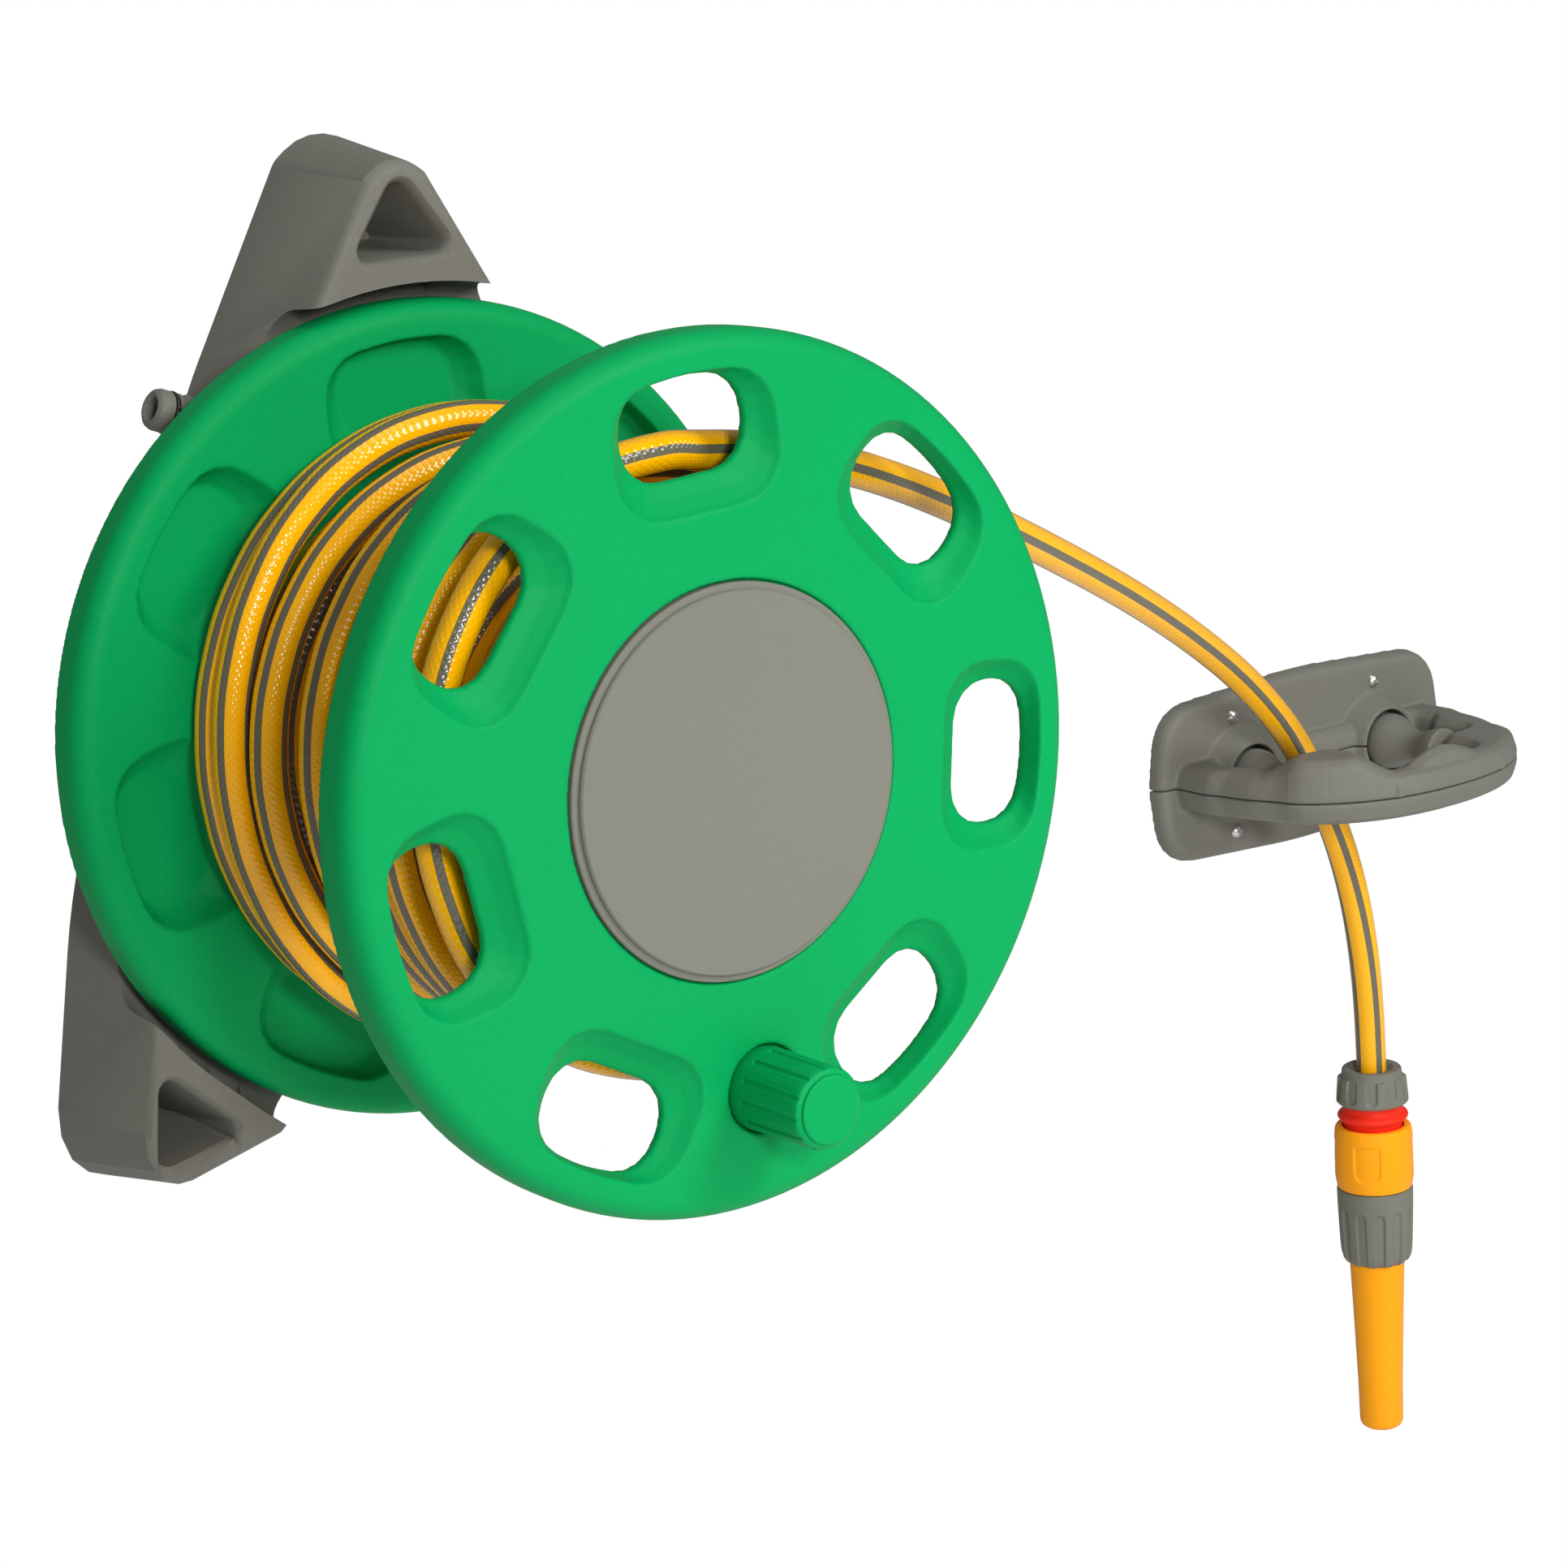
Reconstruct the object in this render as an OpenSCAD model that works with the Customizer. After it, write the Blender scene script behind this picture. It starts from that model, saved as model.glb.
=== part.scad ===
// Wall mounted garden hose reel with a separate wall guide for the hose.
// The reel turns on a fixed water spindle that a three-lobed wall bracket carries.
// Origin: where the reel's axis meets the wall. The wall is the plane Y = 0, the front is -Y, up is +Z.

/* [Flanges] */
// Diameter over the rim of both flanges
flange_d = 380; // [366:1:386]
// Distance between the two flanges' rims, along the axis
reel_width = 217; // [205:1:230]
// Height of the back flange's rim off the wall
back_rim_h = 61; // [60:0.5:66]
// Depth of a flange behind the middle of its rounded rim
rim_depth = 14; // [13:0.5:16]
// Radius of the rounding along the rim
rim_round = 10; // [6:0.5:10]
// Rise of the flange's face above the middle of its rim, at the rim
face_rise = 7; // [6:0.5:9]
// Further rise of the face towards the hub
dish_rise = 2.5; // [0:0.5:4]
// Wall of the moulded flange
flange_wall = 3; // [2:0.25:4]

/* [Windows] */
// Number of windows in a flange, with the crank knob in the place of one more
window_count = 7; // [5:1:7]
// Angle between neighbouring windows
window_step = 49.5; // [48:0.5:50]
// Distance from the axis to the inner edge of a window
window_r_in = 130; // [126:1:133]
// Distance from the axis to the outer edge of a window
window_r_out = 171.5; // [165:0.5:173]
// Half the width of a window's narrowest part
window_half_w = 32.2; // [28:0.2:34]
// Radius of a window's corners
window_corner = 18; // [10:1:20]
// How far the window's inner edge slopes towards the hub
window_scoop = 13; // [6:1:15]
// How far the other edges open out to the front
window_flare = 9.5; // [3:0.5:11]
// Depth of a window's narrowest part behind the middle of the rim
window_depth = 3; // [2:0.5:6]

/* [Drum] */
// Outer diameter of the drum's barrel
drum_d = 150; // [130:1:156]
// Wall of the drum's barrel
drum_wall = 3; // [2:0.25:5]
// Number of stiffening ribs between the drum's hub and barrel
drum_ribs = 6; // [4:1:8]
// Distance from the axis to the screws that hold the front flange
flange_screw_r = 66; // [62:0.5:66]
// Number of screws at each end of the drum
screw_count = 6; // [4:1:8]
// Diameter of the hub cap
cap_d = 170; // [168:1:176]
// Rise of the hub cap above the flange
cap_rise = 3.5; // [2:0.5:5]

/* [Spindle] */
// Diameter of the water spindle
spindle_d = 30; // [28:0.5:32]
// Bore of the water spindle and pipes
water_bore = 10; // [8:0.5:12]
// Running clearance of turning pieces, on the radius
run_gap = 0.05; // [0.03:0.01:0.08]
// Gap between fixed pieces that seat on each other
seat_gap = 0.3; // [0.2:0.05:0.4]

/* [Crank] */
// Distance from the axis to the crank knob
knob_r = 136.5; // [132:0.5:140]
// Diameter of the crank knob
knob_d = 37; // [32:0.5:38]
// Length of the knob in front of the flange
knob_l = 42; // [36:1:50]
// Number of grip grooves on the knob
knob_grooves = 12; // [8:1:14]
// Diameter of the knob's pin
knob_pin_d = 10; // [8:0.5:11]
// Turn of the reel at rest, clockwise from the front
reel_turn = -2.6; // [-180:0.1:180]

/* [Hose] */
// Outer diameter of the hose
hose_d = 17; // [15:0.5:17.5]
// Outer radius of the hose's inner layers beside the back flange
layers_r = 118; // [110:0.5:119]
// Outer radius of the hose's inner layers further on
low_layers_r = 106; // [98:0.5:107]
// Number of turns in the outer layer
turns = 7; // [4:1:7]
// Width of the free groove beside the front flange, where the hose leaves
groove_w = 25; // [22:0.5:27]

/* [Bracket] */
// Height of the three lobes off the wall
lobe_h = 66.5; // [60:0.5:70]
// Height of the bracket's middle off the wall
skin_h = 36; // [34:0.5:38]
// Radius of the arc that the lobes leave free for the flange
lobe_arc_r = 198; // [195:0.5:200]
// Angle between the top lobe and each lower one
lobe_angle = 137; // [134:0.5:140]
// Taper of the sides from the wall to the lobes' faces
draft = 10.5; // [6:0.5:12]
// Wall of the moulded bracket
bracket_wall = 4; // [3:0.25:6]
// Thickness of the floor under a screw pocket
pocket_floor_t = 8; // [6:0.5:12]
// Distance from the axis to the wall screws
wall_screw_r = 222; // [218:0.5:226]
// Diameter of the wall screws' holes
wall_screw_hole = 6.4; // [5:0.1:8]

/* [Inlet] */
// Height of the inlet's axis off the wall
inlet_h = 22; // [20:0.5:23]
// Tilt of the inlet's axis above the horizontal
inlet_tilt = 22; // [18:1:26]
// Diameter of the spigot's nose
spigot_d = 19.2; // [17:0.1:20]
// Outer diameter of the feed pipe
pipe_d = 16; // [14:0.5:17]

/* [Hose guide] */
// Distance of the guide's middle to the right of the reel's axis
guide_x = 614; // [600:1:630]
// Height of the guide's parting plane above the reel's axis
guide_y = -147; // [-149:0.5:-145]
// Width of the guide's wall plate
plate_w = 228; // [216:1:240]
// Height of the guide's wall plate
plate_l = 97; // [92:1:102]
// Thickness of the guide's wall plate
plate_t = 10; // [8:0.5:11]
// Width of the guide's ring
ring_w = 204; // [200:1:208]
// Reach of the guide's ring off the wall
ring_reach = 127; // [125:1:134]
// Height of the guide's ring
ring_h = 26; // [22:0.5:30]
// Spacing of the guide's screws, side to side
guide_screw_dx = 113; // [110:1:120]
// Spacing of the guide's screws, up and down
guide_screw_dy = 66; // [62:1:72]
// Diameter of the guide's screws
guide_screw_d = 4; // [3.5:0.1:4.5]
// Distance from the guide's middle to each roller
roller_x = 54; // [52:0.5:55]
// Diameter of the rollers' round rear ends
roller_d = 32; // [28:0.5:33]
// Diameter of the rollers' front ends
roller_front_d = 26; // [20:0.5:27]
// Diameter of the rollers' waists
roller_waist = 17; // [14:0.5:18]
// Diameter of the rollers' pins
roller_pin_d = 6; // [5:0.5:7]

/* [Connector and nozzle] */
// Height of the end of the hose above the reel's axis
hose_end = -330; // [-330:1:-330]
// Diameter of the connector's nut
nut_d = 40; // [38:0.5:42]
// Diameter of the connector's sliding sleeve
sleeve_d = 44.6; // [42:0.2:46]
// Travel of the sliding sleeve
sleeve_travel = 3; // [2:0.5:3]
// Diameter of the nozzle's collar
collar_d = 43; // [41:0.5:44]
// Number of grip grooves on the nozzle's collar
collar_grooves = 12; // [8:1:14]
// Length of the nozzle's barrel below the collar
barrel_l = 103; // [80:1:120]
// Diameter of the barrel at the collar
barrel_d = 31.4; // [28:0.2:32]
// Diameter of the barrel at its tip
tip_d = 25; // [20:0.2:26]

/* [Hidden] */

fine = 96;
medium = 48;
small = 24;
far = 400;
eps = 0.01;

green = [0.0, 0.66, 0.33];
dark_grey = [0.33, 0.32, 0.3];
hub_grey = [0.54, 0.53, 0.5];
yellow = [0.97, 0.66, 0.08];
orange = [0.99, 0.6, 0.05];
red = [0.93, 0.18, 0.13];
black = [0.05, 0.05, 0.05];
zinc = [0.75, 0.77, 0.78];

// Heights off the wall
front_rim_h = back_rim_h + reel_width;
back_face_h = back_rim_h + face_rise;
front_lip_h = front_rim_h - rim_depth;
hub_top_h = front_rim_h + face_rise + dish_rise;
seat_h = hub_top_h - 3.5;
seat_t = 3;
disc_h = back_rim_h - 12;
disc_t = 3;
barrel_top_h = seat_h - seat_t - seat_gap;

// Drum and spindle
flange_r = flange_d / 2;
drum_r = drum_d / 2;
hub_wall_r = drum_r + seat_gap;
spindle_r = spindle_d / 2;
bore_r = water_bore / 2;
boss_r = spindle_r + 11;
boss_h = skin_h + 8;
hub_l_h = disc_h + 89;
clip_t = 1.8;
clip_h = hub_l_h + seat_gap;
elbow_h = clip_h + clip_t + 1.2;
elbow_l = 23;
spindle_top_h = elbow_h + elbow_l - 5;
port_h = elbow_h + elbow_l / 2;
seal_r = 1.2;
seal_hs = [elbow_h + 4, elbow_h + elbow_l - 9];
port_r = 9;

// Wound hose: the step between its layers and the groove beside the front flange
hose_r = hose_d / 2;
layers_end_h = front_lip_h - seat_gap;
groove_h = front_lip_h + 0.5 - groove_w;
groove_r = 96;
turn_rings = 24;
first_turn_h = back_face_h + dish_rise + seat_gap + hose_r;

// Loose turns: each one's radius above the inner layers, and its share of the space left over
turn_start = 100;
turn_dent = 9;
turn_rise = [9, 9.3, 15, 10, 9, 11, 13, 13];
turn_share = [0, 0.2, 5, 12, 9, 2, 1, 0.8];
turn_room = groove_h - hose_r - 1 - first_turn_h - turns * (hose_d + 0.6);

// Free hose: it wraps back round the groove, spirals in, and runs over the guide to the connector
hang_x = 618.5;
hang_h = 50;
wrap_h = 250;
wrap_angle = 560;
wrap_r = 137;
low_wrap_r = 126;
wrap_rings = 32;
route = [[16, 136.6, 249.8], [45, 133, 249], [75, 126, 246.4], [105, 116.5, 241.3], [140, 103.6, 232],
    [175, 89.2, 219.5], [210, 73.6, 206], [248, 56.1, 190.5], [288, 38.2, 173.3], [331, 18.8, 154.6],
    [375, -2.5, 135.2], [413, -22, 118.3], [441, -38.6, 106], [464, -51.5, 96], [486, -63.8, 86],
    [509, -79.5, 76], [528, -93.5, 68], [546, -108, 60.5], [560, -119.4, 54], [570.7, -131.4, 48.7],
    [580.7, -145.9, 46.5], [591, -162.5, 46.5], [600, -183, 46.5], [606.5, -201.5, 47], [611, -222, 48.5],
    [614.5, -245, 50], [617, -268, 50], [618.3, -295, 50], [hang_x, -313, hang_h], [hang_x, hose_end, hang_h]];

// Window places round a flange, in degrees clockwise from the top
window_angles = [for (i = [0 : window_count - 1]) (i - (window_count - 1) / 2) * window_step];

// Bracket outline at the wall, right half: x, height above the axis, corner radius
top_point = [0, 271, 30];
half_outline = [[24, 253, 14], [82, 152, 240], [164, -60, 320], [190, -199, 28], [100, -182, 14]];
arch_top = [0, -118, 90];
outline_wall = concat([top_point], half_outline, [arch_top], [for (i = [len(half_outline) - 1 : -1 : 0])
    [-half_outline[i][0], half_outline[i][1], half_outline[i][2]]]);
pocket_outline = [[0, 250, 8], [29.5, 208.5, 6], [-29.5, 208.5, 6]];

// Inlet: nose of the spigot, its direction, and the elbow of the feed pipe
nose = [-112, 154];
spigot_dir = [-cos(inlet_tilt), sin(inlet_tilt)];
spigot_l = 48;
elbow_at = nose - 62 * spigot_dir;
elbow_angle = atan2(-elbow_at[0], elbow_at[1]);
elbow_reach = norm(elbow_at);
pipe_r = pipe_d / 2;

// Guide
guide_gap = 0.3;
opening_w = 156;
opening_front = 108;
opening_front_w = 82;
roller_end = 66;
shoulder = roller_end + 3;
pin_l = shoulder + 10 - plate_t + 6;

// Heights of the connector's pieces, all hung from the end of the hose
nut_top = hose_end + 10;
nut_bottom = hose_end - 16;
sleeve_top = hose_end - 24.5;
sleeve_bottom = hose_end - 66.5;
collar_top = sleeve_bottom - 0.7;
collar_bottom = hose_end - 112;
barrel_tip = collar_bottom - barrel_l;
spigot_r = 8;
thread_r = 13;

// Arc points of a rounded corner between the points before and after it
function unit(v) = v / norm(v);
function corner(a, b, c, r, n) =
    let (u = unit([a[0] - b[0], a[1] - b[1]]),
         v = unit([c[0] - b[0], c[1] - b[1]]),
         half = acos(max(-1, min(1, u * v))) / 2,
         t = r / tan(half),
         m = unit(u + v),
         o = [b[0], b[1]] + m * (r / sin(half)),
         p = [b[0], b[1]] + u * t - o,
         q = [b[0], b[1]] + v * t - o,
         a0 = atan2(p[1], p[0]),
         turn = atan2(p[0] * q[1] - p[1] * q[0], p * q))
    [for (i = [0 : n]) o + r * [cos(a0 + turn * i / n), sin(a0 + turn * i / n)]];

// Closed outline from corners, each x, y and radius
function rounded(pts, n = 5) =
    let (k = len(pts))
    [for (i = [0 : k - 1]) each corner(pts[(i + k - 1) % k], pts[i], pts[(i + 1) % k], pts[i][2], n)];

// Clockwise corners moved inwards by d; convex radii shrink and hollow ones grow
function left_normal(a, b) = let (u = unit([b[0] - a[0], b[1] - a[1]])) [u[1], -u[0]];
function cross2(a, b) = a[0] * b[1] - a[1] * b[0];
function inset(pts, d) =
    let (k = len(pts))
    [for (i = [0 : k - 1])
        let (a = pts[(i + k - 1) % k], b = pts[i], c = pts[(i + 1) % k],
             m = left_normal(a, b), n = left_normal(b, c),
             s = cross2([b[0] - a[0], b[1] - a[1]], [c[0] - b[0], c[1] - b[1]]) < 0 ? -1 : 1,
             move = d * (m + n) / (1 + m * n))
        [b[0] + move[0], b[1] + move[1], max(1.2, b[2] + s * d)]];

function at_height(pts, z) = [for (p = pts) [p[0], p[1], z]];

// Solid skinned over rings of points that all run clockwise, from the lowest ring to the highest
module skinned(rings) {
    n = len(rings[0]);
    m = len(rings);
    sides = [for (j = [0 : m - 2], i = [0 : n - 1])
        let (a = j * n + i, b = j * n + (i + 1) % n)
        each [[a, b, a + n], [b, b + n, a + n]]];
    bottom = [for (i = [n - 1 : -1 : 0]) i];
    top = [for (i = [0 : n - 1]) (m - 1) * n + i];
    polyhedron(points = [for (r = rings) each r], faces = concat([bottom], [top], sides), convexity = 8);
}

// Rings round a route of points, square to it; the wall's normal keeps them from twisting
function route_dir(pts, i) =
    i == 0 ? unit(pts[1] - pts[0]) :
    i == len(pts) - 1 ? unit(pts[i] - pts[i - 1]) :
    unit(unit(pts[i + 1] - pts[i]) + unit(pts[i] - pts[i - 1]));
function tube_rings(pts, r, sides) =
    [for (i = [0 : len(pts) - 1])
        let (t = route_dir(pts, i),
             u = unit([0, 0, 1] - t[2] * t),
             v = cross(t, u))
        [for (k = [0 : sides - 1])
            pts[i] + r * (cos(360 * k / sides) * u - sin(360 * k / sides) * v)]];

// Places pieces drawn with z off the wall and y upwards
module on_wall() {
    rotate([90, 0, 0]) children();
}

// Places pieces drawn in the reel's own position
module on_reel() {
    on_wall() rotate([0, 0, -reel_turn]) children();
}

// Places pieces drawn along a vertical axis where the hose hangs
module on_hose() {
    translate([hang_x, -hang_h, 0]) children();
}

module ring(r_out, r_in, z0, z1) {
    translate([0, 0, z0]) difference() {
        cylinder(r = r_out, h = z1 - z0, $fn = fine);
        translate([0, 0, -1]) cylinder(r = r_in, h = z1 - z0 + 2, $fn = fine);
    }
}

module at_angle(angle, r) {
    rotate([0, 0, -angle]) translate([0, r, 0]) children();
}

// Screw with its head's underside at z and its shank pointing down
module screw(z, head_r, head_h, shank_r, shank_l) {
    translate([0, 0, z]) cylinder(r1 = head_r, r2 = head_r * 0.7, h = head_h, $fn = small);
    translate([0, 0, z - shank_l]) cylinder(r = shank_r, h = shank_l + eps, $fn = small);
}

// Bracket

module lobe(k) {
    rotate([0, 0, -k * lobe_angle]) children();
}

module bracket_body() {
    edge = 4;
    skinned([
        at_height(rounded(inset(outline_wall, 0)), 0),
        at_height(rounded(inset(outline_wall, draft * (lobe_h - edge) / lobe_h)), lobe_h - edge),
        at_height(rounded(inset(outline_wall, draft + edge * 0.3)), lobe_h - edge * 0.3),
        at_height(rounded(inset(outline_wall, draft + edge)), lobe_h)]);
}

// Everything that the bracket leaves free round the back flange
module flange_room() {
    fillet = 14;
    rotate_extrude($fn = fine) polygon(concat(
        [[0, skin_h]],
        [for (i = [0 : 6]) [lobe_arc_r - fillet + fillet * sin(15 * i), skin_h + fillet * (1 - cos(15 * i))]],
        [[lobe_arc_r, lobe_h + 1], [0, lobe_h + 1]]));
}

module bracket_hollow() {
    intersection() {
        skinned([
            at_height(rounded(inset(outline_wall, bracket_wall)), -1),
            at_height(rounded(inset(outline_wall, bracket_wall + draft * skin_h / lobe_h)),
                skin_h - bracket_wall)]);
        translate([0, 0, -1]) cylinder(r = lobe_arc_r - 14, h = skin_h, $fn = fine);
    }
}

module screw_pocket() {
    skinned([
        at_height(rounded(inset(pocket_outline, 5)), pocket_floor_t),
        at_height(rounded(inset(pocket_outline, 1)), lobe_h - 5),
        at_height(rounded(inset(pocket_outline, 0)), lobe_h - 2),
        at_height(rounded(inset(pocket_outline, -2)), lobe_h + eps),
        at_height(rounded(inset(pocket_outline, -3)), lobe_h + 1)]);
}

// Slots under each lobe, behind the flange's rim
module lobe_slots() {
    for (side = [-1, 1])
        rotate([0, 0, side * 5.6])
            translate([-9, lobe_arc_r - 20, skin_h + 2])
                cube([18, 24, 18]);
}

module along_spigot() {
    translate([nose[0], nose[1], inlet_h]) rotate([0, -90, 0]) rotate([-inlet_tilt, 0, 0]) children();
}

module along_pipe() {
    translate([0, 0, inlet_h]) rotate([0, 0, elbow_angle]) rotate([-90, 0, 0]) children();
}

module wall_bracket() {
    color(dark_grey) on_wall() difference() {
        union() {
            difference() {
                bracket_body();
                flange_room();
                bracket_hollow();
            }
            cylinder(r = boss_r, h = boss_h, $fn = fine);
            along_spigot() translate([0, 0, -50]) cylinder(r = 13, h = 20, $fn = medium);
            for (angle = [28, 74, 137, 180, 223, 290])
                rotate([0, 0, -angle]) translate([-2, boss_r - 2, 0])
                    cube([4, (angle == 180 ? 100 : angle == 74 ? 88 : 112) - boss_r, skin_h - 1]);
        }
        translate([0, 0, pocket_floor_t]) cylinder(r = spindle_r + 0.2, h = far, $fn = fine);
        for (i = [0 : 2])
            rotate([0, 0, 120 * i + 60]) translate([spindle_r + 5.5, 0, boss_h - 12])
                cylinder(r = 1.6, h = 20, $fn = small);
        along_pipe() {
            cylinder(r = pipe_r + seat_gap, h = elbow_reach, $fn = medium);
            translate([0, 0, elbow_reach]) sphere(r = pipe_r + 2.5 + seat_gap, $fn = medium);
        }
        along_spigot() translate([0, 0, -55]) cylinder(r = 8.2 + seat_gap, h = 40, $fn = medium);
        for (k = [-1 : 1]) lobe(k) {
            screw_pocket();
            lobe_slots();
            translate([0, wall_screw_r, -1]) cylinder(d = wall_screw_hole, h = pocket_floor_t + 2, $fn = medium);
        }
    }
}

// Spindle and its fittings

module spindle() {
    color(hub_grey) on_wall() difference() {
        union() {
            translate([0, 0, pocket_floor_t + seat_gap])
                cylinder(r = spindle_r, h = spindle_top_h - pocket_floor_t - seat_gap, $fn = fine);
            translate([0, 0, boss_h]) cylinder(r = boss_r - 1, h = 4, $fn = fine);
        }
        translate([0, 0, inlet_h - bore_r]) cylinder(r = bore_r, h = far, $fn = medium);
        along_pipe() cylinder(r = bore_r, h = spindle_r + 1, $fn = medium);
        for (h = seal_hs) ring(spindle_r + 1, spindle_r - 2 * seal_r - 0.1, h - seal_r - 0.1, h + seal_r + 0.1);
        ring(spindle_r + 1, spindle_r - 2, clip_h, clip_h + clip_t + 0.1);
        for (i = [0 : 2])
            rotate([0, 0, 120 * i + 60]) translate([spindle_r + 5.5, 0, boss_h - 1]) {
                cylinder(r = 1.7, h = 6, $fn = small);
                translate([0, 0, 2.9]) cylinder(r = 3.2, h = 6, $fn = small);
            }
    }
}

module spindle_screws() {
    color(zinc) on_wall() for (i = [0 : 2])
        rotate([0, 0, 120 * i + 60]) translate([spindle_r + 5.5, 0, 0])
            screw(boss_h + 1.9 + eps, 2.9, 1.8, 1.5, 11);
}

module spindle_seals() {
    color(black) on_wall() for (h = seal_hs)
        translate([0, 0, h]) rotate_extrude($fn = fine)
            translate([spindle_r - seal_r - 0.02, 0]) circle(r = seal_r, $fn = small);
}

// Open ring that keeps the reel on the spindle
module spindle_clip() {
    color(zinc) on_wall() difference() {
        ring(spindle_r + 4, spindle_r - 2 + run_gap, clip_h + eps, clip_h + clip_t);
        translate([-4, 0, clip_h - 1]) cube([8, far, clip_t + 2]);
    }
}

// Inlet

// Two straight pipes that meet in a round elbow
module inlet_pipe() {
    end_l = 62 - spigot_l - seat_gap;
    color(dark_grey) on_wall() difference() {
        union() {
            along_pipe() cylinder(r = pipe_r, h = elbow_reach, $fn = medium);
            along_spigot() translate([0, 0, -62]) cylinder(r = pipe_r - 0.4, h = end_l, $fn = medium);
            along_pipe() translate([0, 0, elbow_reach]) sphere(r = pipe_r + 2.5, $fn = medium);
        }
        translate([0, 0, inlet_h - 20]) cylinder(r = spindle_r + seat_gap, h = 40, $fn = fine);
        along_pipe() cylinder(r = bore_r, h = elbow_reach + 1, $fn = medium);
        along_spigot() translate([0, 0, -63]) cylinder(r = bore_r - 0.2, h = 40, $fn = medium);
    }
}

// Turned profile of the tap spigot: z = 0 is the nose, and the pipe end lies below
module inlet_spigot() {
    r = spigot_d / 2;
    color(dark_grey) on_wall() along_spigot() rotate_extrude($fn = medium) polygon([
        [bore_r, -spigot_l], [8.2, -spigot_l], [8.2, -30], [9, -29], [9, -23], [10.3, -22.5], [10.3, -17],
        [9.2, -15.5], [9.2, -13.5], [r, -13], [r, -10.6], [r - 1.9, -10.6], [r - 1.9, -7.9], [r, -7.9],
        [r, -3.5], [r - 0.8, -1.4], [r - 2.4, -0.2], [r - 3.4, 0], [bore_r + 0.6, -1], [bore_r, -1.6]]);
}

module inlet_seal() {
    color(black) on_wall() along_spigot() translate([0, 0, -9.25]) rotate_extrude($fn = medium)
        translate([spigot_d / 2 - 0.7, 0]) circle(r = 1.1, $fn = small);
}

// Flanges

// Window outline between two distances from the axis
function window(r_in, r_out, half_w, r) =
    let (c = min(r, (r_out - r_in) / 2 - 2, half_w - 2), far_r = 0.085 * half_w * half_w)
    rounded([[-half_w, r_in, c], [-half_w, r_out - 3, c], [0, r_out + 1, far_r],
        [half_w, r_out - 3, c], [half_w, r_in, c]], 4);

// Window at a share of its way from the narrowest part, 0, to the face, 1
function window_at(t, w = 0) = window(window_r_in - window_scoop * t - w, window_r_out + 1.6 * t + w,
    window_half_w + window_flare * t + w, window_corner + 3 * t + w);
function window_z(t) = -window_depth + (face_rise + window_depth) * t;

module window_cut(floor_z) {
    skinned([
        at_height(window_at(0), floor_z),
        at_height(window_at(0), -window_depth + 0.5),
        at_height(window_at(0.55), window_z(0.46)),
        at_height(window_at(1), window_z(0.95)),
        at_height(window_at(1, 2.5), face_rise + dish_rise + 0.5),
        at_height(window_at(1, 2.5), face_rise + dish_rise + 2)]);
}

module window_wall(floor_z) {
    w = flange_wall;
    skinned([
        at_height(window_at(0, w), floor_z),
        at_height(window_at(0, w), -window_depth),
        at_height(window_at(0.9, w), face_rise - 0.3)]);
}

// Moulded skin with its rounded rim, as a profile of distance and height
function face_z(r) = face_rise + dish_rise * (flange_r - rim_round - r) / (flange_r - rim_round - drum_r - 13);
module flange_skin() {
    w = flange_wall;
    top_r = flange_r - rim_round;
    in_r = rim_round - w;
    rotate_extrude($fn = fine) polygon(concat(
        [[flange_r, -rim_depth], [flange_r, face_rise - rim_round]],
        [for (a = [15 : 15 : 75]) [top_r + rim_round * cos(a), face_rise - rim_round * (1 - sin(a))]],
        [[top_r, face_rise], [drum_r + 13, face_z(drum_r + 13)]],
        [[drum_r + 13, face_z(drum_r + 13) - w], [top_r, face_rise - w]],
        [for (a = [75 : -15 : 15]) [top_r + in_r * cos(a), face_rise - rim_round + in_r * sin(a)]],
        [[flange_r - w, face_rise - rim_round], [flange_r - w, -rim_depth]]));
}

module flange(floor_z, wall_z) {
    difference() {
        union() {
            flange_skin();
            for (angle = window_angles) rotate([0, 0, -angle]) window_wall(wall_z);
            children();
        }
        for (angle = window_angles) rotate([0, 0, -angle]) window_cut(floor_z);
    }
}

module back_flange() {
    foot_h = disc_h + disc_t + seat_gap - back_rim_h;
    color(green) on_reel() translate([0, 0, back_rim_h]) difference() {
        flange(-window_depth, -window_depth - flange_wall) {
            ring(drum_r + 14, hub_wall_r, face_z(drum_r + 13) - flange_wall, face_z(drum_r + 13));
            ring(hub_wall_r + 3, hub_wall_r, foot_h, face_rise);
            ring(drum_r + 10, hub_wall_r, foot_h, foot_h + 4);
        }
        for (i = [0 : screw_count - 1])
            rotate([0, 0, 360 * i / screw_count]) translate([drum_r + 6, 0, foot_h - 1])
                cylinder(r = 1.9 + eps * 10, h = 7, $fn = small);
    }
}

// Boss and round recess for the crank knob
module crank_seat() {
    translate([0, -knob_r, 0]) {
        cylinder(r = knob_d / 2 + 4, h = face_rise, $fn = medium);
        translate([0, 0, -10]) cylinder(r = knob_pin_d / 2 + 4, h = 11, $fn = medium);
    }
}

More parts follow.
